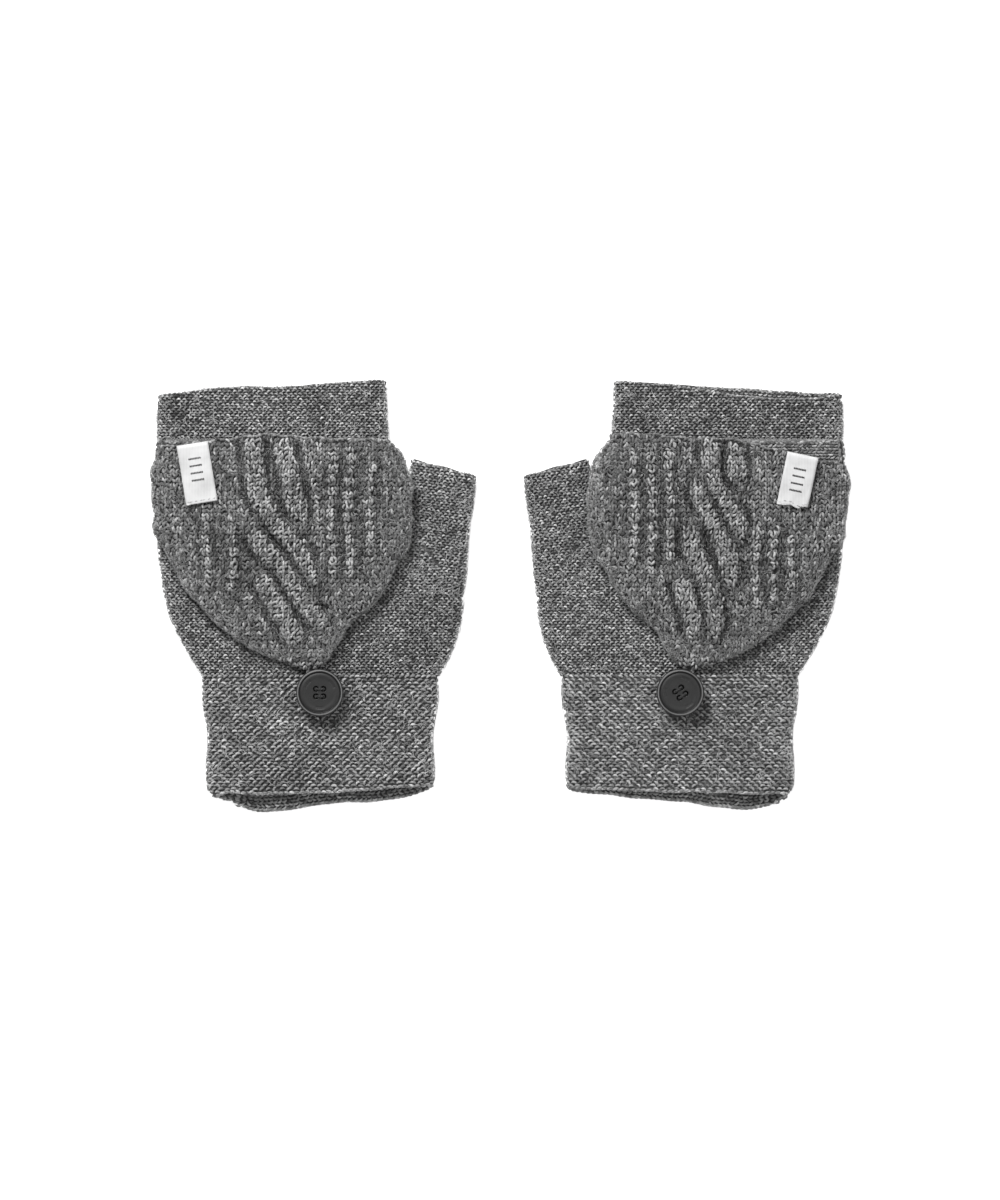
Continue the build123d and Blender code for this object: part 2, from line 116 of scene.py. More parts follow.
def swell(u, v, size, shift):
    """A gentle unevenness between about -1 and 1: three sine waves across each other, added up."""
    a = np.sin(u / size + 1.3 * shift) * np.cos(v / (1.3 * size) + 2.1 * shift)
    b = np.sin((u + v) / (1.7 * size) + 0.7 * shift)
    c = np.cos((u - 1.4 * v) / (0.8 * size) + 3.1 * shift)
    return (a + 0.8 * b + 0.5 * c) / 2.3


def step(x, start, end):
    """0 before start, 1 after end and a smooth rise between them."""
    t = np.clip((x - start) / (end - start), 0, 1)
    return t * t * (3 - 2 * t)


# %% [markdown]
# Every part of the mitten is a flattened tube: a flat face up, a flat face down, and an edge where the
# fabric folds over. The fold's section is a quarter of a rounded ellipse. Stitches keep their size as
# they go round a fold, so the place on a tube is given by the length of fabric, not by the plan: a
# small table turns the length past the flat part into a place on the fold.


# %% The flattened tube
def fold_table(ratio, fullness):
    """Length along the fold, inset from the edge and height, for a fold one unit wide and ratio high:
    inset = 1 - sin(angle)^(2/fullness) and height = cos(angle)^(2/fullness), from 0 to 90 degrees."""
    angle = np.linspace(0, np.pi / 2, 241)
    inset = 1 - np.sin(angle) ** (2 / fullness)
    height = np.clip(np.cos(angle), 0, 1) ** (2 / fullness)
    length = np.concatenate([[0.0], np.cumsum(np.hypot(np.diff(inset), ratio * np.diff(height)))])
    return length, inset, height


def tube(left, right, middle, half, fold, fullness=2.3, relief=None):
    """A flattened tube: its two edges, middle level and half height as functions of v."""
    table = fold_table(half(np.array(0.0)) / fold, fullness)
    return SimpleNamespace(left=left, right=right, middle=middle, half=half, fold=fold, table=table,
                           relief=relief)


def fold_width(t, left, right, inset):
    """How wide the fold is: the tube's own width of fold, or nearly half of a narrow tube."""
    return np.maximum(np.minimum(t.fold - inset, 0.48 * (right - left)), 1e-3)


def limits(t, v, inset=0.0):
    """The fabric lengths at which the two edges of the tube lie."""
    left, right = t.left(v) + inset, t.right(v) - inset
    spare = fold_width(t, left, right, inset) * (t.table[0][-1] - 1)
    return left - spare, right + spare


def on_tube(t, q, v, face, inset=0.0):
    """The point at fabric length q across and v along, on the upper (+1) or lower (-1) face: q is u on
    the flat part, and past it the fold table gives the inset and the height."""
    q, v, face, inset = np.broadcast_arrays(q, np.asarray(v, float), face, inset)
    left, right = t.left(v) + inset, t.right(v) - inset
    fold = fold_width(t, left, right, inset)
    past_right = (q - (right - fold)) / fold
    past_left = ((left + fold) - q) / fold
    past = np.clip(np.maximum(past_right, past_left), 0, None)
    length, insets, heights = t.table
    edge = np.interp(past, length, insets) * fold
    height = np.interp(past, length, heights)
    u = np.where(past_right > past_left, np.minimum(q, right - edge), np.maximum(q, left + edge))
    z = t.middle(v) + face * np.maximum(t.half(v) - inset, 0.05) * height
    if t.relief is not None:
        z = z + t.relief(u, v) * height ** 0.7 * (face > 0) * np.clip(1 - inset / 4, 0.3, 1)
    return np.stack([u, v, z], axis=-1), height


# %% [markdown]
# A tube's wall is a sheet of fabric with an outside, a rim and an inside. On a grid of places round
# the tube and along its wall, outside then rim then inside then rim, it closes on itself like a ring
# doughnut, so there are no loose edges. A pocket is closed at its tip instead: there the grid ends in
# a pole outside and another inside.


# %% Walls as grids
def ring_places(t, v, around, inset=0.0):
    """Fabric lengths and faces round the tube at v: over the top to the right edge, back underneath."""
    share = np.arange(around // 2) / (around // 2)
    share = np.concatenate([share, 1 - share])
    face = np.repeat([1.0, -1.0], around // 2)
    low, high = limits(t, v, inset)
    return low + share * (high - low), face


def tube_wall(t, start, end, wall, around, along, rim=4):
    """Grid of the wall of an open tube. start and end give v from the place across and the signed
    height, so that a mouth can be cut aslant."""
    angle = np.pi * np.arange(1, rim + 1) / (rim + 1)
    out, back = np.linspace(0, 1, along), np.linspace(1, 0, along)
    ahead = np.concatenate([out, np.ones(rim), back, np.zeros(rim)])
    inset = wall * np.concatenate([0 * out, (1 - np.cos(angle)) / 2, 1 + 0 * out, (1 + np.cos(angle)) / 2])
    beyond = wall / 2 * np.concatenate([0 * out, np.sin(angle), 0 * out, -np.sin(angle)])
    middle = np.zeros(1)
    mid = np.array(0.5 * float((start(middle, middle) + end(middle, middle))[0]))
    q, face = ring_places(t, mid, around)
    flat, height = on_tube(t, q, mid, face)
    first, last = start(flat[:, 0], face * height), end(flat[:, 0], face * height)
    v = first[:, None] + ahead[None, :] * (last - first)[:, None] + beyond[None, :]
    share = np.arange(around // 2) / (around // 2)
    share = np.concatenate([share, 1 - share])[:, None]
    low, high = limits(t, v, inset[None, :])
    points, _ = on_tube(t, low + share * (high - low), v, face[:, None], inset[None, :])
    return points


def ring_faces(around, along, wrap):
    """Quads of a grid that closes on itself around, and also along where wrap is true, clockwise as
    seen from outside."""
    i = np.arange(around)[:, None]
    j = np.arange(along if wrap else along - 1)[None, :]
    a = i * along + j
    b = ((i + 1) % around) * along + j
    c = ((i + 1) % around) * along + (j + 1) % along
    d = i * along + (j + 1) % along
    return np.stack([a, d, c, b], axis=-1).reshape(-1, 4)


def ring_corners(around, along, wrap):
    """Where each of those quads lies in the unit square."""
    spans = along if wrap else along - 1
    i, j = np.meshgrid(np.arange(around), np.arange(spans), indexing="ij")
    low, high = i / around, (i + 1) / around
    near, far = j / spans, (j + 1) / spans
    quad = [(low, near), (low, far), (high, far), (high, near)]
    return np.stack([np.stack(c, axis=-1) for c in quad], axis=2).reshape(-1, 4, 2)


# %% [markdown]
# Blender can take a whole mesh as plain arrays, which is far quicker than adding faces one by one. The
# one function below does that for every piece. It also turns millimetres into metres, mirrors the
# right mitten, and keeps two things with the mesh: a flat map, so that a texture can be baked on it,
# and a shade for each stitch. The arrays list every face clockwise as seen from outside, and a face
# looks towards the side from which it is anticlockwise. Mirroring turns the right mitten's faces
# round by itself, so only the left mitten's are turned round here.


# %% From arrays to a piece
def make_piece(name, side, points, faces, corners, shade=None, smooth_faces=True):
    """A piece named SIDE_name. faces and corners are lists of arrays, for triangles or quads."""
    mirrored = side == "right"
    if not mirrored:
        faces = [f[:, ::-1] for f in faces]
        corners = [c[:, ::-1] for c in corners]
    place = np.array(points, float).reshape(-1, 3)
    place[:, 0] = CENTRE[side] + (-place[:, 0] if mirrored else place[:, 0])
    loops = np.concatenate([f.ravel() for f in faces])
    sizes = np.concatenate([np.full(len(f), f.shape[1]) for f in faces])
    mesh = bpy.data.meshes.new(f"{side}_{name}")
    mesh.vertices.add(len(place))
    mesh.vertices.foreach_set("co", (place * MM).ravel())
    mesh.loops.add(len(loops))
    mesh.loops.foreach_set("vertex_index", loops.astype(np.int32))
    mesh.polygons.add(len(sizes))
    mesh.polygons.foreach_set("loop_start", (np.cumsum(sizes) - sizes).astype(np.int32))
    mesh.polygons.foreach_set("use_smooth", np.full(len(sizes), smooth_faces))
    layer = mesh.uv_layers.new(name="OFBake")
    layer.data.foreach_set("uv", np.concatenate([c.reshape(-1, 2) for c in corners]).ravel())
    mesh.update(calc_edges=True)
    if shade is not None:
        tones = mesh.attributes.new("shade", "FLOAT", "POINT")
        tones.data.foreach_set("value", np.asarray(shade, np.float32))
    piece = bpy.data.objects.new(f"{side}_{name}", mesh)
    bpy.context.scene.collection.objects.link(piece)
    triangles = int(np.sum(sizes - 2))
    made.append((piece.name, triangles))
    return piece


made = []
BACKING_PAINTED_SHADE = 0.05               # painted shade: the backing is coloured dark to stand for the shade between the stitches


def ring_piece(name, side, grid, wrap=True, shade=None):
    """A piece from a grid of points (around, along). Without wrap its two end rings are poles."""
    around, along = grid.shape[:2]
    points = grid.reshape(-1, 3)
    faces, corners = [ring_faces(around, along, wrap)], [ring_corners(around, along, wrap)]
    if not wrap:
        poles = np.array([grid[:, 0].mean(axis=0), grid[:, -1].mean(axis=0)])
        points = np.concatenate([points, poles])
        i = np.arange(around)
        first = np.stack([i * along, ((i + 1) % around) * along, np.full(around, around * along)], axis=1)
        last = np.stack([((i + 1) % around) * along + along - 1, i * along + along - 1,
                         np.full(around, around * along + 1)], axis=1)
        flat = np.stack([np.stack([i / around, 0 * i + e], axis=1) for e in (0, 0.001, 0.002)], axis=1)
        faces += [np.concatenate([first, last])]
        corners += [np.concatenate([flat, flat])]
    # A wall without shades of its own gets the backing's painted shade.
    tones = np.full(len(points), BACKING_PAINTED_SHADE) if shade is None else shade
    return make_piece(name, side, points, faces, corners, tones)


# %% [markdown]
# Knitting is one stitch repeated thousands of times. From the purl side a stitch shows as a short
# curved bar of yarn, from the knit side as the two legs of a V. Either is a little closed bead here:
# a bent tube of three rings of five points with a pointed end each way, only thirty triangles. The
# stitches that lie face down are made with fewer rings or fewer points to a ring, and the loose
# fibres with three points to a ring. All the beads of a piece are placed with one array sum:
# centre + x along + y across + z out.


# %% One stitch, and a field of them
def bead(length, bend, rise, radius, rings=3, sides=5):
    """A bent, tapering tube along x: its middle line has y = bend (1 - t^2) and z = rise (1 - t^2) for
    t from -1 to 1, and its radius falls off as sqrt(1 - t^2 / 1.6)."""
    t = np.linspace(-1, 1, rings + 2)
    line = np.stack([t * length / 2, bend * (1 - t ** 2) - bend / 2, rise * (1 - t ** 2) - rise], axis=1)
    around = 2 * np.pi * (np.arange(sides) + 0.5) / sides
    thick = radius * np.sqrt(1 - t[1:-1] ** 2 / 1.6)
    ring = np.stack([0 * around, -np.sin(around), np.cos(around)], axis=1)
    body = line[1:-1, None, :] + thick[:, None, None] * ring[None, :, :]
    points = np.concatenate([body.reshape(-1, 3), line[[0, -1]]])
    r, s = np.meshgrid(np.arange(rings - 1), np.arange(sides), indexing="ij")
    n = (s + 1) % sides
    quads = np.stack([r * sides + s, (r + 1) * sides + s, (r + 1) * sides + n, r * sides + n], axis=-1)
    low, high = s / sides, (s + 1) / sides
    near, far = (r + 1) / (rings + 1), (r + 2) / (rings + 1)
    flat = np.stack([np.stack(c, -1) for c in ((low, near), (low, far), (high, far), (high, near))], axis=2)
    s = np.arange(sides)
    n = (s + 1) % sides
    first = np.stack([s, n, np.full(sides, rings * sides)], axis=1)
    base = (rings - 1) * sides
    last = np.stack([base + n, base + s, np.full(sides, rings * sides + 1)], axis=1)
    near, far = 1 / (rings + 1), rings / (rings + 1)
    low, high, mid = s / sides, (s + 1) / sides, (s + 0.5) / sides
    tips = [[(low, near), (high, near), (mid, 0 * mid)], [(high, far), (low, far), (mid, 0 * mid + 1)]]
    tips = [np.stack([np.stack([a + 0 * low, b + 0 * low], -1) for a, b in tip], axis=1) for tip in tips]
    return SimpleNamespace(points=points, quads=quads.reshape(-1, 4), flat=flat.reshape(-1, 4, 2),
                           tris=np.concatenate([first, last]), tips=np.concatenate(tips))


def frames_on(t, q, v, face):
    """Places and the three directions across, along and outwards, from small steps on the surface."""
    small = 0.15
    place, _ = on_tube(t, q, v, face)
    across = on_tube(t, q + small, v, face)[0] - on_tube(t, q - small, v, face)[0]
    along = on_tube(t, q, v + small, face)[0] - on_tube(t, q, v - small, face)[0]
    across /= np.linalg.norm(across, axis=-1, keepdims=True)
    out = np.cross(across, along) * np.sign(face)[..., None]
    out /= np.linalg.norm(out, axis=-1, keepdims=True)
    along = np.cross(out, across)
    return place, across, along, out


def bead_field(name, side, shape, place, across, along, out, turn, size, shade):
    """One piece of many beads. Each is turned about its outward direction and sized, and lands in a
    cell of its own on the flat map."""
    x = np.cos(turn)[:, None] * across + np.sin(turn)[:, None] * along
    y = np.cross(out, x)
    local = shape.points[None, :, :] * size[:, None, None]
    points = (place[:, None, :] + local[..., 0:1] * x[:, None] + local[..., 1:2] * y[:, None]
              + local[..., 2:3] * out[:, None])
    count, each = len(place), len(shape.points)
    shift = (np.arange(count) * each)[:, None, None]
    faces = [(shape.quads[None] + shift).reshape(-1, 4), (shape.tris[None] + shift).reshape(-1, 3)]
    grid = int(np.ceil(np.sqrt(count)))
    cell = np.stack([np.arange(count) % grid, np.arange(count) // grid], axis=-1)[:, None, None, :]
    corners = [((shape.flat[None] + cell) / grid).reshape(-1, 4, 2),
               ((shape.tips[None] + cell) / grid).reshape(-1, 3, 2)]
    return make_piece(name, side, points.reshape(-1, 3), faces, corners, np.repeat(shade, each))


def lattice(low_q, high_q, low_v, high_v, wale, course):
    """A brick lattice of places: courses course apart, wales wale apart, every other row shifted by
    half a wale. Also gives each place's row number."""
    rows = np.arange(int(np.floor(low_v / course)), int(np.ceil(high_v / course)) + 1)
    columns = np.arange(int(np.floor(low_q / wale)) - 1, int(np.ceil(high_q / wale)) + 1)
    row, column = np.meshgrid(rows, columns, indexing="ij")
    q = (column + 0.5 * (row % 2)) * wale
    return q.ravel(), (row * course).ravel().astype(float), row.ravel()


# %% [markdown]
# ## The hand
# The hand widens from the cuff to the thumb, loses the thumb's width at the crotch and runs straight
# up past the knuckles. The thumb stall is a second tube that starts inside the first. The back of the
# hand is slightly uneven, as knitting that has been worn and laid down is.

# %% Outlines of the hand and the thumb
LIFT = 0.35                        # half a yarn: the middle of the yarn lies this far inside the CAD faces
HAND_BASE, HAND_OUTER, HAND_INNER = 47.7, 65.2, 57.4
THUMB_BASE = (HAND_INNER, CUFF_V + 31.0)
CROTCH = (33.0, CUFF_V + 62.6)
THUMB_INNER_TOP = (36.2, CUFF_V + 85.8)
THUMB_OUTER_TOP = (62.4, CUFF_V + 79.4)
KNUCKLE_INNER = 27.4
OUTER_CURVE = 52.75                # the little-finger edge has reached its full width by here
HAND_WALL = 1.4


def flare(v, full, over):
    """The edge's reach: it grows from the cuff seam on as a parabola, and is level after over."""
    rise = np.clip((v - CUFF_V) / over, 0, 1)
    return HAND_BASE + (full - HAND_BASE) * (1 - (1 - rise) ** 2)


def hand_left(v):
    return -flare(v, HAND_OUTER, OUTER_CURVE) + LIFT + 0.35 * np.sin(v / 6.1)


def border(v):
    """Where the thumb joins the hand: the straight line from the thumb's base to the crotch."""
    share = (v - THUMB_BASE[1]) / (CROTCH[1] - THUMB_BASE[1])
    return THUMB_BASE[0] + share * (CROTCH[0] - THUMB_BASE[0])


def thumb_right(v):
    share = (v - THUMB_BASE[1]) / (THUMB_OUTER_TOP[1] - THUMB_BASE[1])
    return THUMB_BASE[0] + share * (THUMB_OUTER_TOP[0] - THUMB_BASE[0]) - LIFT + 0.3 * np.sin(v / 5.3)


def thumb_left(v):
    return smooth(v, [(THUMB_BASE[1] - 12, 46), (THUMB_BASE[1] + 2, 39), (CROTCH[1] - 12, 31),
                      (CROTCH[1] - 4, 31.8), (CROTCH[1], CROTCH[0] + LIFT),
                      (THUMB_INNER_TOP[1], THUMB_INNER_TOP[0] + LIFT)])


def above_crotch(v):
    return smooth(v, [(CROTCH[1], CROTCH[0]), (CROTCH[1] + 12, 30.6), (KNUCKLE_V, KNUCKLE_INNER),
                      (FINGER_V, KNUCKLE_INNER - 0.6)]) - LIFT + 0.3 * np.sin(v / 4.7)


def hand_right(v):
    """The hand's own thumb-side edge, which follows the border line under the thumb."""
    below = flare(v, HAND_INNER, 31.0) - LIFT
    return np.where(v < THUMB_BASE[1], below, np.where(v < CROTCH[1], border(v), above_crotch(v)))


def stitched_right(v):
    """The same edge for the stitches: over the border they go on level into the thumb."""
    below = flare(v, HAND_INNER, 31.0) - LIFT
    return np.where(v < THUMB_BASE[1], below, np.where(v < CROTCH[1], thumb_right(v), above_crotch(v)))


def level(value):
    """A function of v that is the same everywhere."""
    return lambda v: np.full(np.shape(v), float(value))


def hand_relief(shift):
    return lambda u, v: 0.28 * swell(u, v, 11.0, shift) - 0.15


HAND_TUBES, STITCH_TUBES, THUMB_TUBES = {}, {}, {}
for index, side in enumerate(SIDES):
    half, middle = level(HAND_HALF_HEIGHT - LIFT), level(HAND_HALF_HEIGHT)
    HAND_TUBES[side] = tube(hand_left, hand_right, middle, half, 7.0, relief=hand_relief(index + 1))
    STITCH_TUBES[side] = tube(hand_left, stitched_right, middle, half, 7.0, relief=hand_relief(index + 1))
    THUMB_TUBES[side] = tube(thumb_left, thumb_right, middle, half, 6.0, relief=hand_relief(index + 1))

# %% [markdown]
# The finger edge climbs towards the thumb side and sags a little where it is not held. Its upper layer
# dips below the lower one on the right mitten, so that the inside of the back layer shows.

# %% Mouths of the hand and the thumb
FINGER_EDGE = {"left": {"upper": [(-65, -6.2), (-45, -3.4), (-10, -2.4), (15, -0.6), (27, 0.2)],
                        "lower": [(-65, -6.2), (-45, -3.6), (-10, -2.6), (15, -1.0), (27, 0.0)]},
               "right": {"upper": [(-65, -6.0), (-48, -7.4), (-25, -6.4), (-5, -3.0), (27, -0.2)],
                         "lower": [(-65, -5.6), (-45, -4.6), (-25, -3.4), (-5, -2.2), (27, -0.4)]}}


def mouth(edge, base, ripple):
    """v of a mouth from the place across and the signed height: halfway between the upper and the
    lower line at a fold, and on one of them on the flat, with a small ripple."""
    def place(u, height):
        upper, lower = smooth(u, edge["upper"]), smooth(u, edge["lower"])
        blend = (1 + np.clip(height * 1.6, -1, 1)) / 2
        return base + lower + (upper - lower) * blend + ripple * np.sin(u / 3.7) * np.cos(u / 9.1)
    return place


def flat_mouth(v):
    return lambda u, height: np.full(np.shape(u), float(v))


def thumb_mouth(u, height):
    share = (u - THUMB_INNER_TOP[0]) / (THUMB_OUTER_TOP[0] - THUMB_INNER_TOP[0])
    across = THUMB_INNER_TOP[1] + share * (THUMB_OUTER_TOP[1] - THUMB_INNER_TOP[1])
    return across + 0.25 * np.sin(u / 2.3) + 0.35 * np.clip(height, -1, 1)


FINGER_MOUTH = {side: mouth(FINGER_EDGE[side], FINGER_V, 0.25) for side in SIDES}
BACKING = 0.65                     # the plain backing lies this far under the stitches

# %% [markdown]
# A stitch is smaller than the grid of a wall, so the wall only backs the stitches. It is coloured with a
# dark painted shade, which stands for the shade that falls in the gaps between the stitches. The stitches
# stand on it, in rows with every other row shifted by half a stitch. A bead's shade is its own: the yarn
# is spun from light and dark fibres.

# %% Stitches for the hand
HAND_WALE, HAND_COURSE = 1.95, 1.08
HAND_BEAD = bead(length=2.05, bend=0.72, rise=0.45, radius=0.40)
PALM_BEAD = bead(length=2.05, bend=0.72, rise=0.45, radius=0.42, rings=2, sides=4)   # lies face down
rng = np.random.default_rng(7)


def yarn_shades(count):
    """A shade between 0 and 1 for every stitch: most are middling, a few much lighter or darker."""
    return np.clip(rng.normal(0.5, 0.17, count), 0, 1)


def purl_turn(row, slant, tilt, jitter):
    """The bars slant by the same angle, plus a tilt one way in one row and the other way in the next,
    and every bar strays a little from that."""
    return slant + tilt * (2 * (row % 2) - 1) + rng.normal(0, jitter, len(row))


def purl_field(name, side, t, q, v, row, face, shape, slant=0.0, tilt=0.34, jitter=0.2):
    """A field of purl bars on one face of a tube. No stitch sits quite in its place."""
    q = q + rng.normal(0, 0.16, len(q))
    v = v + rng.normal(0, 0.10, len(v))
    low, high = limits(t, v)
    q = np.clip(q, low + 0.05, high - 0.05)
    place, across, along, out = frames_on(t, q, v, np.full(len(q), float(face)))
    size = 1 + rng.normal(0, 0.08, len(q))
    shade = yarn_shades(len(q))
    turn = purl_turn(row, slant, tilt, jitter)
    return bead_field(name, side, shape, place, across, along, out, turn, size, shade)


def backing(t):
    """The same tube, a little smaller all round."""
    return tube(lambda v: t.left(v) + BACKING, lambda v: t.right(v) - BACKING, t.middle,
                lambda v: t.half(v) - BACKING, t.fold, relief=t.relief)


def inside_tube(t, q, v, start, end):
    """Which lattice places lie on the fabric: between the edges, and between the two mouths."""
    low, high = limits(t, v)
    return (q > low) & (q < high) & (v > start) & (v < end)


HAND_PIECES = {}
for side in SIDES:
    t = STITCH_TUBES[side]
    pieces = []
    for face, name in ((1, "hand_back_stitches"), (-1, "palm_stitches")):
        q, v, row = lattice(-70, 66, CUFF_V - 1, FINGER_V + 1, HAND_WALE, HAND_COURSE)
        end = FINGER_MOUTH[side](q, np.full(len(q), float(face)))
        keep = inside_tube(t, q, v, CUFF_V + 0.5, end) & ((v > CROTCH[1]) | (q < border(v)))
        shape = HAND_BEAD if face > 0 else PALM_BEAD
        pieces.append(purl_field(name, side, t, q[keep], v[keep], row[keep], face, shape))
    wall = tube_wall(backing(HAND_TUBES[side]), flat_mouth(CUFF_V - 1.5), FINGER_MOUTH[side],
                     HAND_WALL - 2 * BACKING + 0.4, 160, 60)
    pieces.append(ring_piece("hand_backing", side, wall))
    HAND_PIECES[side] = pieces
    print(side, "hand:", made[-2:])

# %% [markdown]
# At a mouth the fabric turns over a rim and goes on inside. Rows of the same bars are carried round
# that rim: the wall's thickness is the diameter of a half circle, and every row sits at its own angle
# on it, with more rows behind for the part of the inside that can be seen through the mouth.


# %% Rims of the mouths
def rim_field(name, side, t, edge, out_way, wall, shape, pitch, depth, rows=4):
    """Rows of bars round a mouth, from just outside over the rim and depth down the inside. edge gives
    v, and out_way is +1 where the mouth opens towards the fingers and -1 towards the wrist."""
    mid = np.array(float(edge(np.zeros(1), np.zeros(1))[0]) - 4.0 * out_way)
    low, high = limits(t, mid)
    around = int(2 * (high - low) / pitch)
    share = np.arange(around) / around
    angle = np.linspace(0.25 * np.pi, np.pi, rows)
    inner = np.arange(1, int(depth / (0.62 * pitch)) + 1) * 0.62 * pitch
    inset = np.concatenate([wall * (1 - np.cos(angle)) / 2, wall + 0 * inner])
    beyond = np.concatenate([wall / 2 * np.sin(angle), -inner])
    row, s = np.meshgrid(np.arange(len(inset)), share, indexing="ij")
    s = (s + 0.5 * (row % 2) / around) % 1.0
    inset, beyond = inset[row.ravel()], beyond[row.ravel()]
    s, row = s.ravel(), row.ravel()
    face = np.where(s < 0.5, 1.0, -1.0)
    across = np.where(s < 0.5, 2 * s, 2 - 2 * s)

    def place(shift_s, shift_b):
        a = np.clip(across + shift_s * face, 0, 1)
        low, high = limits(t, mid, inset)
        q = low + a * (high - low)
        flat, height = on_tube(t, q, mid, face, inset)
        v = edge(flat[:, 0], face * height) + out_way * (beyond + shift_b)
        low, high = limits(t, v, inset)
        return on_tube(t, low + a * (high - low), v, face, inset)[0]

    centre = place(0, 0)
    a = place(0.004, 0) - place(-0.004, 0)
    a /= np.linalg.norm(a, axis=-1, keepdims=True)
    over = np.arctan2(np.clip(beyond, 0, None) / (wall / 2), 1 - inset / wall * 2)
    flat_out = np.stack([0 * s, 0 * s, face], axis=-1)
    ahead = np.stack([0 * s, 0 * s + out_way, 0 * s], axis=-1)
    out = np.cos(over)[:, None] * flat_out + np.sin(over)[:, None] * ahead
    out -= np.sum(out * a, axis=-1, keepdims=True) * a
    out /= np.linalg.norm(out, axis=-1, keepdims=True)
    b = np.cross(out, a)
    size = 1 + rng.normal(0, 0.07, len(s))
    shade = yarn_shades(len(s))
    turn = purl_turn(row, 0.0, 0.3, 0.25)
    return bead_field(name, side, shape, centre - 0.15 * out, a, b, out, turn, size, shade)


for side in SIDES:
    HAND_PIECES[side].append(rim_field("finger_rim_stitches", side, HAND_TUBES[side], FINGER_MOUTH[side], 1,
                                       HAND_WALL, HAND_BEAD, HAND_WALE, 7.0))

# %% [markdown]
# ## The thumb stall
# The thumb's knitting leans with the thumb, so its lattice is turned by the same angle about the
# middle of the border line, and starts on that line.

# %% Thumb
THUMB_ROOT = ((THUMB_BASE[0] + CROTCH[0]) / 2, (THUMB_BASE[1] + CROTCH[1]) / 2)
THUMB_LEAN = np.arctan2((THUMB_INNER_TOP[0] + THUMB_OUTER_TOP[0]) / 2 - THUMB_ROOT[0],
                        (THUMB_INNER_TOP[1] + THUMB_OUTER_TOP[1]) / 2 - THUMB_ROOT[1])


def leaning_lattice(reach):
    """The hand's lattice, turned by the thumb's lean about its root."""
    a, b, row = lattice(-reach, reach, -reach, reach, HAND_WALE, HAND_COURSE)
    q = THUMB_ROOT[0] + a * np.cos(THUMB_LEAN) + b * np.sin(THUMB_LEAN)
    v = THUMB_ROOT[1] - a * np.sin(THUMB_LEAN) + b * np.cos(THUMB_LEAN)
    return q, v, row


for side in SIDES:
    t = THUMB_TUBES[side]
    pieces = []
    for face, name in ((1, "thumb_upper_stitches"), (-1, "thumb_lower_stitches")):
        q, v, row = leaning_lattice(52.0)
        end = thumb_mouth(q, np.full(len(q), float(face)))
        past = (v > CROTCH[1]) | (q > border(v) + 0.3)
        keep = inside_tube(t, q, v, THUMB_BASE[1] + 0.4, end) & past
        shape = HAND_BEAD if face > 0 else PALM_BEAD
        pieces.append(purl_field(name, side, t, q[keep], v[keep], row[keep], face, shape,
                                 slant=-THUMB_LEAN))
    wall = tube_wall(backing(t), flat_mouth(THUMB_BASE[1] - 4.0), thumb_mouth,
                     HAND_WALL - 2 * BACKING + 0.4, 96, 40)
    pieces.append(ring_piece("thumb_backing", side, wall))
    pieces.append(rim_field("thumb_rim_stitches", side, t, thumb_mouth, 1, HAND_WALL, HAND_BEAD, HAND_WALE,
                            5.0))
    HAND_PIECES[side] += pieces
print("thumbs:", made[-4:])

# %% [markdown]
# ## The cuff
# The cuff is knitted on bigger needles with the same yarn, so its bars are longer and further apart.
# Its mouth is cut aslant: the lower layer reaches past the upper one and shows its inside. The raised
# course where it meets the hand is a row of larger stitches round the whole tube.

# %% Cuff
CUFF_WALL = 2.0
CUFF_WALE, CUFF_COURSE, CUFF_SLANT = 2.75, 1.28, 0.24
CUFF_BEAD = bead(length=2.8, bend=0.7, rise=0.5, radius=0.49)
CUFF_UNDER_BEAD = bead(length=2.8, bend=0.7, rise=0.5, radius=0.51, rings=2, sides=4)
SEAM_BEAD = bead(length=2.7, bend=0.5, rise=0.4, radius=0.5)
CUFF_EDGE = {"left": {"upper": [(-43, 4.2), (-39, 5.4), (-25, 5.2), (-6, 5.6), (20, 7.0), (45, 8.8)],
                      "lower": [(-43, 3.8), (-34, -0.1), (-6, 0.0), (2, 1.4), (36, 4.2), (45, 7.6)]},
             "right": {"upper": [(-45, 5.2), (-20, 5.8), (10, 6.4), (30, 7.0), (45, 7.6)],
                       "lower": [(-45, 2.2), (-38, 0.2), (-18, -0.1), (0, 2.4), (20, 3.8), (45, 6.6)]}}
LIP_V = span("left_wrist_cuff")[0][1]


def cuff_half(v):
    """Half the cuff's width: straight, then spreading to the hand, and rounded in at the lip."""
    spread = 45.5 + 2.2 * step(v, CUFF_V - 24, CUFF_V)
    corner = np.clip((LIP_V + 9 - v) / 7.0, 0, 1)
    return spread - 7.0 * (1 - np.sqrt(1 - 0.86 * corner ** 2)) + 0.35 * np.sin(v / 4.1) - LIFT


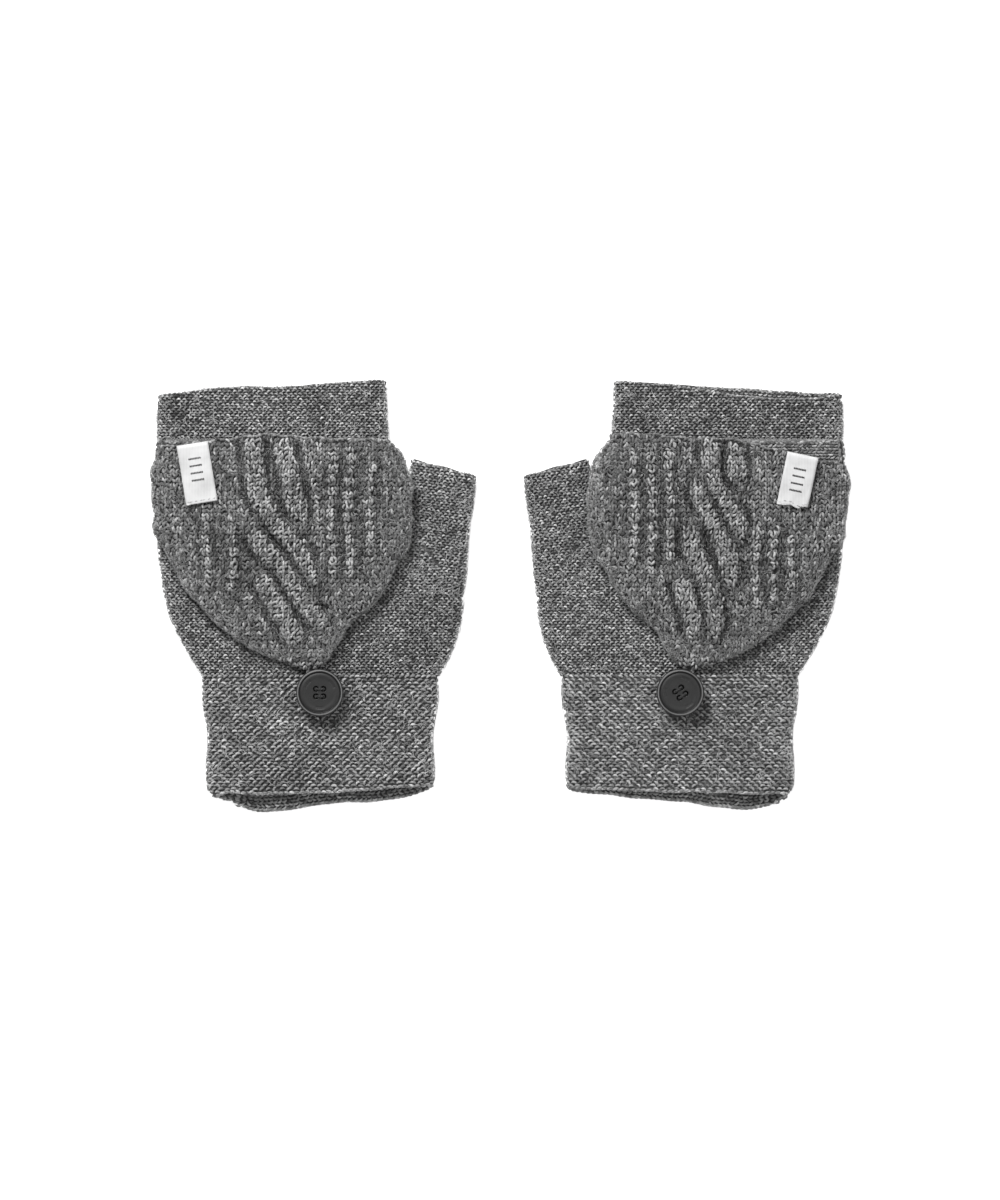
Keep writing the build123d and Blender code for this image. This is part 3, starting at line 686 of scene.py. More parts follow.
CUFF_TUBES, CUFF_MOUTH, CUFF_PIECES = {}, {}, {}
for index, side in enumerate(SIDES):
    relief = (lambda shift: lambda u, v: 0.3 * swell(u, v, 9.0, shift) - 0.2)(index + 3)
    t = tube(lambda v: -cuff_half(v), cuff_half, level(CUFF_HALF_HEIGHT), level(CUFF_HALF_HEIGHT - LIFT),
             7.5, relief=relief)
    CUFF_TUBES[side] = t
    CUFF_MOUTH[side] = mouth(CUFF_EDGE[side], LIP_V + 0.6, -0.3)
    pieces = []
    for face, name in ((1, "cuff_upper_stitches"), (-1, "cuff_lower_stitches")):
        q, v, row = lattice(-52, 52, LIP_V - 1, CUFF_V, CUFF_WALE, CUFF_COURSE)
        start = CUFF_MOUTH[side](q, np.full(len(q), float(face)))
        keep = inside_tube(t, q, v, start, CUFF_V - 0.6)
        shape = CUFF_BEAD if face > 0 else CUFF_UNDER_BEAD
        pieces.append(purl_field(name, side, t, q[keep], v[keep], row[keep], face, shape,
                                 slant=CUFF_SLANT, tilt=0.2, jitter=0.34))
    wall = tube_wall(backing(t), CUFF_MOUTH[side], flat_mouth(CUFF_V - 0.2),
                     CUFF_WALL - 2 * BACKING, 140, 30)
    pieces.append(ring_piece("cuff_backing", side, wall))
    pieces.append(rim_field("cuff_rim_stitches", side, t, CUFF_MOUTH[side], -1, CUFF_WALL, CUFF_BEAD,
                            CUFF_WALE * 0.8, 10.0))
    CUFF_PIECES[side] = pieces
    low, high = limits(t, np.array(CUFF_V))
    s = np.arange(int((high - low) / 2.2)) * 2.2 + low
    q, face = np.concatenate([s, s]), np.repeat([1.0, -1.0], len(s))
    place, across, along, out = frames_on(t, q, np.full(len(q), CUFF_V), face)
    shade = yarn_shades(len(q))
    CUFF_PIECES[side].append(bead_field("cuff_seam_stitches", side, SEAM_BEAD, place, across, along, out,
                                        rng.normal(0.4, 0.2, len(q)), 1 + 0 * q, shade - 0.1))
print("cuffs:", made[-5:])

# %% [markdown]
# ## The cap
# The cap is a flat pocket, open at the knuckles and drawn in to a tip. Its upper face is patterned:
# strands of a cable lie slanting over the middle, with columns of knobs to either side. That pattern
# is a height over the plan. A strand is a rounded ridge along a curve, whose height is a power of
# one minus the squared distance over the strand's half width. A column of knobs is a bell curve
# across times a row of bumps along.

# %% Outline and thickness of the cap
CAP_OUTER, CAP_INNER, CAP_LENGTH = 67.2, 36.6, KNUCKLE_V - TIP_V
CAP_SPAN = CAP_TOP - CAP_FLOOR
OUTER_SHARE = [(0, .970), (.07, .985), (.26, 1), (.43, .961), (.53, .884), (.68, .759), (.82, .573),
               (.93, .335), (1, .126)]
INNER_SHARE = [(0, .779), (.07, .918), (.26, 1), (.43, .985), (.53, .869), (.68, .639), (.82, .300),
               (.93, .110), (1, .010)]
THICK_SHARE = [(0, .96), (.43, .96), (.68, .92), (.82, .84), (.93, .67), (1, .50)]
TIP_ROUND = 3.4


def cap_share(v):
    return (KNUCKLE_V - v) / CAP_LENGTH


def cap_edge(sign, places, reach, wave):
    """An edge of the cap. Over the last few millimetres both edges close in as a quarter circle."""
    other, other_reach = (INNER_SHARE, CAP_INNER) if sign < 0 else (OUTER_SHARE, CAP_OUTER)

    def edge(v):
        share = cap_share(v)
        own, far = smooth(share, places) * reach, smooth(share, other) * other_reach
        centre, half = sign * (own - far) / 2, (own + far) / 2
        closing = np.sqrt(1 - np.clip((TIP_V + TIP_ROUND - v) / TIP_ROUND, 0, 0.9995) ** 2)
        puff = 0.5 * np.sin(v / 3.4 + wave) + 0.3 * np.sin(v / 1.9 + 2 * wave)
        return centre + sign * (half - LIFT + puff * step(share, 0.0, 0.1)) * closing
    return edge


def cap_half(v):
    closing = np.sqrt(1 - np.clip((TIP_V + TIP_ROUND - v) / TIP_ROUND, 0, 0.9995) ** 2)
    return (smooth(cap_share(v), THICK_SHARE) * CAP_SPAN / 2 - LIFT - 0.3) * (0.25 + 0.75 * closing)


def cap_middle(v):
    return CAP_FLOOR + smooth(cap_share(v), THICK_SHARE) * CAP_SPAN / 2


# %% [markdown]
# The strands are given as a few points each, from the knuckles (large v) to the tip (small v), and every
# strand sinks back into the fabric where it ends. The columns of knobs are given by the place across and
# the two ends along. The two mittens are not quite mirror images, as the cables of such a pair are
# crossed by hand or settle differently.


# %% Cable strands and knobs
STRANDS = {
    "left": [[(-27, 66), (-26, 52), (-24.6, 41), (-18.8, 29.6), (-12, 22.5), (-5.2, 10), (-1.6, 0)],
             [(-17, 66), (-12.6, 50.8), (-9.6, 36), (-6.5, 25)],
             [(-26, 27), (-22, 17.5), (-14.4, 10), (-10.4, 3.2), (-5, -5.2), (1.5, -14), (3, -18)],
             [(-24, 8.5), (-19.4, -0.8), (-14.4, -8.8), (-10.5, -17), (-8, -24)]],
    "right": [[(-13.6, 64), (-12, 52), (-12.8, 44), (-16.8, 38), (-21.2, 31), (-22.8, 24), (-21.2, 18)],
              [(-22.4, 63), (-22, 53), (-24.4, 43)],
              [(-7, 47), (-9, 38), (-12, 30), (-16.6, 22), (-18.8, 15), (-19.7, 8), (-18.6, 1)],
              [(-4.0, 28), (-5.4, 17), (-9, 8.4), (-12, 0.7), (-13.2, -7), (-12, -22)],
              [(-0.6, 7), (-2.1, -2), (-5.2, -10.8), (-7.4, -21)]]}
KNOB_COLUMNS = {"left": [(5.0, 58, 6), (12.0, 58, 8), (20.6, 56, 14), (-44.8, 34, 2), (-35.0, 34, 0)],
                "right": [(18.6, 56, 12), (11.4, 58, 8), (4.2, 58, 14), (-30.4, 26, -6), (-37.2, 26, -4),
                          (-44.4, 24, 2)]}
STRAND_HALF_WIDTH, STRAND_RISE, KNOB_RISE, KNOB_PITCH = 4.8, 3.0, 2.5, 4.6


def strand_lines(side):
    """Points along each strand, and its direction there, as a smooth curve of v."""
    lines = []
    for points in STRANDS[side]:
        points = sorted((v, u) for u, v in points)
        v = np.linspace(points[0][0], points[-1][0], 60)
        u = smooth(v, points)
        lines.append((u, v, np.gradient(u, v)))
    return lines


def nearest(u, v, line):
    """Distance from every place to a line of points, which end it is past, and the slope there."""
    lu, lv, slope = line
    flat = np.stack([u.ravel(), v.ravel()], axis=-1)
    gap = np.hypot(flat[:, 0:1] - lu[None, :], flat[:, 1:2] - lv[None, :])
    best = np.argmin(gap, axis=1)
    distance = gap[np.arange(len(best)), best]
    share = best / (len(lu) - 1)
    return distance.reshape(u.shape), share.reshape(u.shape), slope[best].reshape(u.shape)


def cap_relief(side, shift):
    """Height of the cap's pattern over its plan."""
    lines = strand_lines(side)

    def relief(u, v):
        u, v = np.broadcast_arrays(np.asarray(u, float), np.asarray(v, float))
        top = np.full(u.shape, 0.0)
        near, shown = np.full(u.shape, 99.0), np.ones(u.shape)
        for line in lines:
            distance, share, _ = nearest(u, v, line)
            free_top = 0.0 if line[1][-1] > 60 else 1.0
            fade = np.clip(share / 0.22, 0, 1) * np.clip(1 - free_top + (1 - share) / 0.10, 0, 1)
            width = STRAND_HALF_WIDTH * (0.55 + 0.45 * fade)
            round_top = np.clip(1 - (distance / width) ** 2, 0, 1) ** 0.6 * (0.2 + 0.8 * fade)
            top = np.maximum(top, STRAND_RISE * round_top)
            shown = np.where(distance < near, fade, shown)
            near = np.minimum(near, distance)
        ditch = -1.3 * shown * np.exp(-((near - STRAND_HALF_WIDTH - 0.6) / 1.9) ** 2)
        for column, high, low in KNOB_COLUMNS[side]:
            bell = np.exp(-((u - column - 0.5 * np.sin(v / 7)) / 1.9) ** 2)
            bumps = 0.45 + 0.55 * np.abs(np.sin(np.pi * v / KNOB_PITCH + column))
            top = np.maximum(top, KNOB_RISE * bell * bumps * step(v, low - 3, low + 3)
                             * (1 - step(v, high - 3, high + 3)))
        top = top + ditch + 0.6 * swell(u, v, 6.5, shift)
        return (top - 1.0) * step(cap_share(v), 1.0, 0.86)
    return relief


CAP_TUBES = {}
for index, side in enumerate(SIDES):
    CAP_TUBES[side] = tube(cap_edge(-1, OUTER_SHARE, CAP_OUTER, index + 0.4),
                           cap_edge(1, INNER_SHARE, CAP_INNER, index + 2.0),
                           cap_middle, cap_half, 8.5, fullness=2.2, relief=cap_relief(side, index + 5))

# %% [markdown]
# The pocket's wall is one closed surface: from the outer pole at the tip up the outside to the mouth,
# over the rim and down the inside to an inner pole. The mouth's upper layer ends in the hem, which
# waves with the cable and hangs lower towards the little finger on the right mitten.

# %% The pocket
CAP_WALL = 1.8
HEM = {"left": [(-66, -3.0), (-50, -1.4), (-32, 0.8), (-20, 2.2), (-8, 1.4), (8, 0.4), (27, 0.2)],
       "right": [(-66, -9.5), (-54, -8.0), (-42, -5.0), (-28, -1.6), (-14, 0.6), (-4, 0.4), (14, 2.2),
                 (27, 2.6)]}


def cap_mouth(side):
    """v of the pocket's mouth: the hem on the upper layer, the knuckle line on the lower one."""
    def place(u, height):
        upper = smooth(u, HEM[side]) + 0.35 * np.sin(u / 1.7)
        blend = np.clip(height * 1.6, 0, 1)
        return KNUCKLE_V - 0.8 + (upper + 0.4) * blend
    return place


def pocket(t, edge, wall, around=160, along=90, deep=60, rim=4):
    """Grid of the pocket's wall, from the outer pole to the inner one."""
    angle = np.pi * np.arange(1, rim + 1) / (rim + 1)
    out = np.linspace(0, 1, along) ** 0.8
    back = np.linspace(1, 0.11, deep)
    ahead = np.concatenate([out, np.ones(rim), back])
    inset = wall * np.concatenate([0 * out, (1 - np.cos(angle)) / 2, 1 + 0 * back])
    beyond = wall / 2 * np.concatenate([0 * out, np.sin(angle), 0 * back])
    mid = np.array(KNUCKLE_V - 6.0)
    q, face = ring_places(t, mid, around)
    flat, height = on_tube(t, q, mid, face)
    last = edge(flat[:, 0], face * height)
    v = TIP_V + 0.05 + ahead[None, :] * (last - TIP_V - 0.05)[:, None] + beyond[None, :]
    share = np.arange(around // 2) / (around // 2)
    share = np.concatenate([share, 1 - share])[:, None]
    low, high = limits(t, v, inset[None, :])
    grid, _ = on_tube(t, low + share * (high - low), v, face[:, None], inset[None, :])
    return grid


CREASE_PAINTED_SHADE, CREASE_REACH = 0.36, 2.8   # painted shade per millimetre of hollow and painted light per millimetre of ridge, measured over this far around


def crease(relief, u, v):
    """How far a place stands above (+) or below (-) the mean of eight places round it. It is used
    to paint light onto the ridges and shade into the creases."""
    angle = np.arange(8)[:, None] * np.pi / 4
    ring = relief(u[None] + CREASE_REACH * np.cos(angle), v[None] + CREASE_REACH * np.sin(angle))
    return np.clip(relief(u, v) - ring.mean(axis=0), -1.2, 0.7)


def knit_field(name, side, t, face, wale, course, shape, edge, lines):
    """The two legs of every V on one face. The legs lean by a fixed angle, and turn with a strand
    where they lie on one."""
    q, v, row = lattice(-75, 45, TIP_V, KNUCKLE_V + 4, wale, course)
    q = q - 0.5 * (row % 2) * wale
    leg = np.repeat([-1.0, 1.0], len(q))
    q, v = np.tile(q, 2) + leg * 0.25 * wale, np.tile(v, 2)
    q, v = q + rng.normal(0, 0.22, len(q)), v + rng.normal(0, 0.2, len(q))
    end = edge(q, np.full(len(q), float(face)))
    keep = inside_tube(t, q, v, TIP_V + 0.4, end)
    q, v, leg = q[keep], v[keep], leg[keep]
    low, high = limits(t, v)
    q = np.clip(q, low + 0.05, high - 0.05)
    lean, weight = np.zeros(len(q)), np.full(len(q), 0.25)
    for line in lines:
        distance, _, slope = nearest(q, v, line)
        pull = np.exp(-(distance / 3.6) ** 2)
        lean, weight = lean + pull * -np.arctan(slope), weight + pull
    lean = lean / weight
    place, across, along, out = frames_on(t, q, v, np.full(len(q), float(face)))
    turn = np.pi / 2 - leg * 0.42 - lean + rng.normal(0, 0.27, len(q))
    size = 1 + rng.normal(0, 0.07, len(q))
    shade = yarn_shades(len(q))
    if face > 0:
        # painted shade in the pattern's creases and painted light on its ridges
        shade = np.clip(shade + CREASE_PAINTED_SHADE * crease(t.relief, q, v), 0, 1)
    return bead_field(name, side, shape, place, across, along, out, turn, size, shade)


CAP_WALE, CAP_COURSE = 2.3, 1.75
CAP_LEG = bead(length=2.7, bend=0.35, rise=0.42, radius=0.5)
CAP_UNDER_LEG = bead(length=2.7, bend=0.35, rise=0.42, radius=0.52, sides=4)
CAP_PIECES = {}
for side in SIDES:
    t, edge = CAP_TUBES[side], cap_mouth(side)
    small = tube(lambda v, t=t: t.left(v) + BACKING * step(v, TIP_V, TIP_V + 6),
                 lambda v, t=t: t.right(v) - BACKING * step(v, TIP_V, TIP_V + 6), t.middle,
                 lambda v, t=t: t.half(v) - BACKING * step(v, TIP_V, TIP_V + 6), 8.5, fullness=2.2,
                 relief=t.relief)
    pieces = [ring_piece("cap_backing", side, pocket(small, edge, CAP_WALL - 2 * BACKING), wrap=False)]
    pieces.append(knit_field("cap_upper_stitches", side, t, 1, CAP_WALE, CAP_COURSE, CAP_LEG, edge,
                             strand_lines(side)))
    pieces.append(knit_field("cap_lower_stitches", side, t, -1, CAP_WALE, CAP_COURSE, CAP_UNDER_LEG,
                             edge, []))
    pieces.append(rim_field("cap_hem_stitches", side, t, edge, 1, CAP_WALL, CAP_LEG, 1.9, 13.0))
    CAP_PIECES[side] = pieces
print("caps:", made[-4:])

# %% [markdown]
# The wool is brushed, so loose fibre ends stand a little proud of the stitches and blur the outline.
# Each is a long thin bead with only a few faces, scattered at random over both faces of a tube and
# turned at random; it touches the fabric at its ends and arches over it in the middle.

# %% Loose fibres
FIBRE = bead(length=4.6, bend=1.2, rise=0.35, radius=0.075, sides=3)


def fibre_field(name, side, t, start, end, count, lift=0.5):
    """Fibres over the faces of a tube between the mouths start and end, the upper face most."""
    v = rng.uniform(-80, 95, count * 4)
    face = np.where(rng.uniform(0, 1, len(v)) < 0.7, 1.0, -1.0)
    low, high = limits(t, v)
    q = low + (high - low) * (0.5 - 0.5 * np.cos(np.pi * rng.uniform(0, 1, len(v))))
    keep = (v > start(q, face) + 2) & (v < end(q, face) - 2) & (high > low)
    q, v, face = q[keep][:count], v[keep][:count], face[keep][:count]
    place, across, along, out = frames_on(t, q, v, face)
    turn = rng.uniform(0, 2 * np.pi, len(q))
    size = rng.uniform(0.5, 1.2, len(q))
    shade = np.clip(rng.normal(0.75, 0.15, len(q)), 0, 1)
    return bead_field(name, side, FIBRE, place + lift * out, across, along, out, turn, size, shade)


for side in SIDES:
    HAND_PIECES[side].append(fibre_field("hand_fibres", side, HAND_TUBES[side], flat_mouth(CUFF_V),
                                         FINGER_MOUTH[side], 2600))
    HAND_PIECES[side].append(fibre_field("thumb_fibres", side, THUMB_TUBES[side], flat_mouth(THUMB_BASE[1]),
                                         thumb_mouth, 700))
    CUFF_PIECES[side].append(fibre_field("cuff_fibres", side, CUFF_TUBES[side], CUFF_MOUTH[side],
                                         flat_mouth(CUFF_V), 1700))
    CAP_PIECES[side].append(fibre_field("cap_fibres", side, CAP_TUBES[side], flat_mouth(TIP_V + 3),
                                        cap_mouth(side), 3600, lift=0.55))
print("fibres:", made[-4:])

# %% [markdown]
# ## Seam, loop and thread
# The knuckle seam, the button loop and the thread through the button are all twisted strands. A
# strand's surface is a circle carried along a path, whose centre also turns about the path: centre +
# spread (cos, sin)(turns) + radius (cos, sin)(angle), in the two directions square to the path.


# %% Twisted strands
def strand_piece(name, side, path, radius, spread, plies, turns, around=8):
    """One piece of several strands twisted together along a path, each closed at both ends."""
    path = np.asarray(path, float)
    ahead = np.gradient(path, axis=0)
    ahead /= np.linalg.norm(ahead, axis=1, keepdims=True)
    aside = np.cross(ahead, [0.0, 0.0, 1.0])
    aside /= np.maximum(np.linalg.norm(aside, axis=1, keepdims=True), 1e-6)
    above = np.cross(aside, ahead)
    along = np.linspace(0, 1, len(path))
    ring = 2 * np.pi * np.arange(around) / around
    closing = np.sqrt(np.clip(1 - (2 * along - 1) ** 40, 0.02, 1))
    points, faces, corners = [], [], []
    for ply in range(plies):
        angle = 2 * np.pi * (turns * along + ply / plies)
        middle = path + spread * (np.cos(angle)[:, None] * aside + np.sin(angle)[:, None] * above)
        grid = middle[None] + radius * closing[None, :, None] * (
            np.cos(ring)[:, None, None] * aside[None] + np.sin(ring)[:, None, None] * above[None])
        base = sum(len(p) for p in points)
        points.append(grid.reshape(-1, 3))
        faces.append(ring_faces(around, len(path), False)[:, ::-1] + base)
        flat = ring_corners(around, len(path), False)[:, ::-1]
        corners.append(np.stack([(flat[..., 0] + ply) / plies, flat[..., 1]], axis=-1))
        ends = np.stack([np.arange(around) * len(path), (np.arange(around) + 1) % around * len(path)], 1)
        for end, way in ((0, 1), (len(path) - 1, -1)):
            tip = base + around * len(path) + (0 if way > 0 else 1)
            fan = np.concatenate([ends + base + end, np.full((around, 1), tip)], axis=1)
            faces.append(fan[:, ::-1] if way > 0 else fan)
            spot = np.array([[0.0, 0.0], [0.001, 0.0], [0.0, 0.001]])
            corners.append(np.tile(spot[None], (around, 1, 1)))
        points.append(middle[[0, -1]])
    total = sum(len(p) for p in points)
    return make_piece(name, side, np.concatenate(points), faces, corners, np.full(total, 0.55))


LOOP_LEVEL = float(np.mean([corner[2] for corner in span("left_yarn_loop")]))
LOOP_SPREAD, LOOP_ROUND = 1.6, 2.25
TIP_U = (INNER_SHARE[-1][1] * CAP_INNER - OUTER_SHARE[-1][1] * CAP_OUTER) / 2


def loop_path(count=90):
    """The loop's middle line: down one leg, round the thread shank in a half circle and back up."""
    start = np.array([[TIP_U - LOOP_SPREAD, TIP_V + 2.2], [TIP_U + LOOP_SPREAD, TIP_V + 2.2]])
    turn = np.linspace(np.pi, 2 * np.pi, 41)
    arc = np.stack([LOOP_ROUND * np.cos(turn), BUTTON_V + LOOP_ROUND * np.sin(turn)], axis=1)
    ahead = np.linspace(0, 1, 25)[:-1, None]
    plan = np.concatenate([start[0] + ahead * (arc[0] - start[0]), arc,
                           arc[-1] + (1 - ahead[::-1]) * (start[1] - arc[-1])])
    return np.concatenate([plan, np.full((len(plan), 1), LOOP_LEVEL)], axis=1)


LOOP_PIECES, SEAM_PIECES = {}, {}
seam_high = span("left_knuckle_seam")[1]
for side in SIDES:
    LOOP_PIECES[side] = strand_piece("button_loop", side, loop_path(), 0.46, 0.36, 2, 14)
    u = np.linspace(-61.5, 26.0, 320)
    v, z = np.full(len(u), KNUCKLE_V), np.full(len(u), (seam_high[2] + CAP_FLOOR) / 2)
    SEAM_PIECES[side] = strand_piece("knuckle_seam_stitches", side, np.stack([u, v, z], 1), 0.62, 0.5,
                                     2, 40)

# %% [markdown]
# ## The button
# A moulded button is a surface of revolution: a profile of radius and height, turned about its axis.
# The holes, and the three groups of short radial marks pressed in its face, are taken off the height
# where a place on the face lies within them, so the whole button is one closed grid with two poles.

# %% Button
BUTTON_THICK = BUTTON_HIGH[2] - BUTTON_LOW[2]
HOLE_RADIUS, HOLE_PLACE, HOLE_DEPTH = 1.05, 1.5, 1.9
BUTTON_TURN = {"left": 0.0, "right": 35.0}
FACE_PROFILE = [(0, -.62), (5.6, -.60), (7.3, -.52), (7.75, -.62), (7.95, -.66), (8.15, -.35),
                (8.45, -.06), (8.75, 0), (9.05, -.08), (9.35, -.36), (9.5, -.9)]


def button_grid(around=128, top=96):
    """Grid of the button, about its own axis, from the pole of its face to the pole of its back."""
    r = np.concatenate([np.linspace(0.02, 4.2, 46), np.linspace(4.3, 9.5, top - 46)])
    z = BUTTON_THICK + smooth(r, FACE_PROFILE)
    turn = np.linspace(0, np.pi / 2, 7)[1:]
    back_r = np.concatenate([9.5 * np.ones(3), 8.7 + 0.8 * np.cos(turn), np.linspace(8.2, 0.02, 16)])
    back_z = np.concatenate([[1.5, 1.2, 0.9], 0.8 - 0.8 * np.sin(turn), np.zeros(16)])
    r, z = np.concatenate([r, back_r]), np.concatenate([z, back_z])
    face = np.arange(len(r)) < top
    angle = -2 * np.pi * np.arange(around)[:, None] / around
    x, y = r[None, :] * np.cos(angle), r[None, :] * np.sin(angle)
    hole = np.hypot(np.abs(x) - HOLE_PLACE, np.abs(y) - HOLE_PLACE)
    depth = HOLE_DEPTH * step(hole, HOLE_RADIUS + 0.15, HOLE_RADIUS - 0.2)
    groups = np.zeros_like(x)
    for centre in (90, 215, 325):
        off = (np.degrees(-angle) - centre + 180) % 360 - 180
        mark = np.abs((off + 3.5) % 7 - 3.5) * np.pi / 180 * 6.1
        groups = np.maximum(groups, step(mark, 0.24, 0.1) * (np.abs(off) < 18))
    marks = 0.14 * groups * step(r, 5.45, 5.65)[None] * (1 - step(r, 6.6, 6.8))[None]
    z = z[None, :] - (depth + marks) * face[None, :]
    # The rim's crest gets a painted highlight, and the holes, the pressed marks and the groove inside the
    # rim get painted shade.
    crest_highlight = np.exp(-((r - 8.8) / 0.2) ** 2) * face
    hollow_shade = np.clip(depth / HOLE_DEPTH + 2.5 * marks, 0, 1)
    shade = 0.4 + 0.6 * crest_highlight[None, :] - 0.4 * np.maximum(hollow_shade, (np.abs(r - 7.9) < 0.3)[None, :])
    return np.stack([x, y, z], axis=-1), shade


def set_down(grid, side):
    """Turn a grid by the button's turn and carry it to the button's place."""
    angle = -np.radians(BUTTON_TURN[side])
    x = grid[..., 0] * np.cos(angle) - grid[..., 1] * np.sin(angle)
    y = grid[..., 0] * np.sin(angle) + grid[..., 1] * np.cos(angle)
    return np.stack([x, y + BUTTON_V, grid[..., 2] + BUTTON_LOW[2]], axis=-1)


BUTTON_PIECES, THREAD_PIECES = {}, {}
for side in SIDES:
    grid, shade = button_grid()
    shade = np.concatenate([shade.ravel(), [0.4, 0.4]])
    BUTTON_PIECES[side] = ring_piece("coat_button", side, set_down(grid, side), wrap=False, shade=shade)
    s = np.linspace(-1, 1, 41)
    bars = []
    for index, row in enumerate((-HOLE_PLACE, HOLE_PLACE)):
        z = BUTTON_THICK - 0.75 + 0.42 * (1 - s ** 2) - 1.1 * np.clip(np.abs(s) - 0.72, 0, 1) ** 1.2 * 3
        path = np.stack([s * (HOLE_PLACE + 0.25), np.full(41, row), z], axis=1)
        bars.append(strand_piece(f"sewing_thread_{index + 1}", side, set_down(path, side), 0.26, 0.26, 3,
                                 1.2))
    THREAD_PIECES[side] = bars

# %% [markdown]
# ## The label
# The label is a woven ribbon folded over the hem: a short leg inside the pocket, the turn round the
# edge and a longer leg on the cap, held by hand stitches. It is one sheet that follows the cap's face,
# so it rises and falls with it, and it is turned a little, as it is sewn on by hand.

# %% Label
LABEL_WIDTH, LABEL_THICK = 12.6, 0.32
LABEL_LEG = {"left": 22.6, "right": 19.4}
LABEL_TOP = {"left": (-50.6, 58.6), "right": (-48.6, 54.2)}
LABEL_TURN = {"left": 9.3, "right": 12.0}
LABEL_INNER_LEG, LABEL_FOLD = 8.0, 1.35


def label_sheet(side, across=13, along=64):
    """Grid of the label's middle surface, and each row's length from the inner end: the fabric length
    runs up the inner leg, over a half circle at the hem and down the outer leg."""
    turn = np.radians(LABEL_TURN[side])
    round_length = np.pi * LABEL_FOLD
    total = LABEL_INNER_LEG + round_length + LABEL_LEG[side]
    s = np.linspace(0, total, along)
    a = np.linspace(-0.5, 0.5, across) * LABEL_WIDTH
    angle = np.clip((s - LABEL_INNER_LEG) / LABEL_FOLD, 0, np.pi)
    down = np.where(s < LABEL_INNER_LEG, LABEL_INNER_LEG - s, 0)
    down = np.where(s > LABEL_INNER_LEG + round_length, s - LABEL_INNER_LEG - round_length, down)
    down = down - LABEL_FOLD * np.sin(angle)
    depth = LABEL_FOLD * (1 + np.cos(angle))
    u = LABEL_TOP[side][0] + a[:, None] * np.cos(turn) + down[None, :] * np.sin(turn)
    v = LABEL_TOP[side][1] + a[:, None] * np.sin(turn) - down[None, :] * np.cos(turn)
    t = CAP_TUBES[side]
    plain = tube(t.left, t.right, t.middle, t.half, 8.5, fullness=2.2)
    held, _ = on_tube(plain, u, np.minimum(v, KNUCKLE_V - 0.5), 1.0)
    wave = 0.16 * np.sin(s / 3.1 + a[:, None] / 4.0)
    if side == "right":
        near_end = step(s, total - 6.0, total)[None, :]
        wave = wave + near_end * 0.5 * np.sin(a[:, None] * 1.1 + 0.6) ** 2
        v = v + near_end * 0.7 * np.sin(a[:, None] * 0.8)
    z = held[..., 2] + 0.95 - depth[None, :] + wave
    return np.stack([u, v, z], axis=-1), s, total


LABEL_PIECES, LABEL_STITCHES, LABEL_LENGTH = {}, {}, {}
THREAD_BEAD = bead(length=1.25, bend=0.12, rise=0.16, radius=0.2)
for side in SIDES:
    grid, s, total = label_sheet(side)
    LABEL_LENGTH[side] = total
    count_a, count_s = grid.shape[:2]
    normal = np.cross(np.gradient(grid, axis=0), np.gradient(grid, axis=1))
    normal /= -np.linalg.norm(normal, axis=-1, keepdims=True)
    shell = np.concatenate([grid - normal * LABEL_THICK / 2, (grid + normal * LABEL_THICK / 2)[::-1]])
    piece = ring_piece("label_ribbon", side, shell, wrap=False)
    LABEL_PIECES[side] = piece
    turn = np.radians(LABEL_TURN[side])
    spots = np.linspace(1, count_a - 2, 7).astype(int)
    place = (grid + normal * (LABEL_THICK / 2 + 0.05))[spots, -3]
    out = normal[spots, -3]
    across = np.tile([np.cos(turn), np.sin(turn), 0.0], (len(spots), 1))
    across -= np.sum(across * out, axis=1, keepdims=True) * out
    along = np.cross(out, across)
    LABEL_STITCHES[side] = bead_field("label_sewing", side, THREAD_BEAD, place, across, along, out,
                                      rng.normal(0.1, 0.25, len(spots)), np.ones(len(spots)),
                                      np.full(len(spots), 0.5))
print("labels:", LABEL_LENGTH)

# %% [markdown]
# A woven mark dresses the ribbon: four plain bars, each worked as a short row of satin stitches. It
# stands for no word, it only gives the label the dark accent that such a ribbon has.

# %% The label's plain bars
BAR_LENGTH, BAR_GAP, BAR_START, BAR_STITCHES = 4.4, 2.9, 4.6, 8
SATIN_BEAD = bead(length=1.0, bend=0.0, rise=0.1, radius=0.32)
LABEL_MARKS = {}
for side in SIDES:
    grid, s, total = label_sheet(side, across=41, along=400)
    normal = np.cross(np.gradient(grid, axis=0), np.gradient(grid, axis=1))
    normal /= -np.linalg.norm(normal, axis=-1, keepdims=True)
    bar, stitch = np.meshgrid(np.arange(4), np.arange(BAR_STITCHES), indexing="ij")
    down = LABEL_INNER_LEG + np.pi * LABEL_FOLD + BAR_START + bar.ravel() * BAR_GAP
    aside = (stitch.ravel() / (BAR_STITCHES - 1) - 0.5) * BAR_LENGTH
    i = np.round((aside / LABEL_WIDTH + 0.5) * 40).astype(int)
    j = np.round(down / total * 399).astype(int)
    out = normal[i, j]
    along = (np.gradient(grid, axis=1))[i, j]
    along /= np.linalg.norm(along, axis=-1, keepdims=True)
    place = grid[i, j] + out * (LABEL_THICK / 2 + 0.02)
    LABEL_MARKS[side] = bead_field("label_bars", side, SATIN_BEAD, place, along, np.cross(out, along), out,
                                   rng.normal(0, 0.05, len(i)), np.ones(len(i)), np.full(len(i), 0.5))
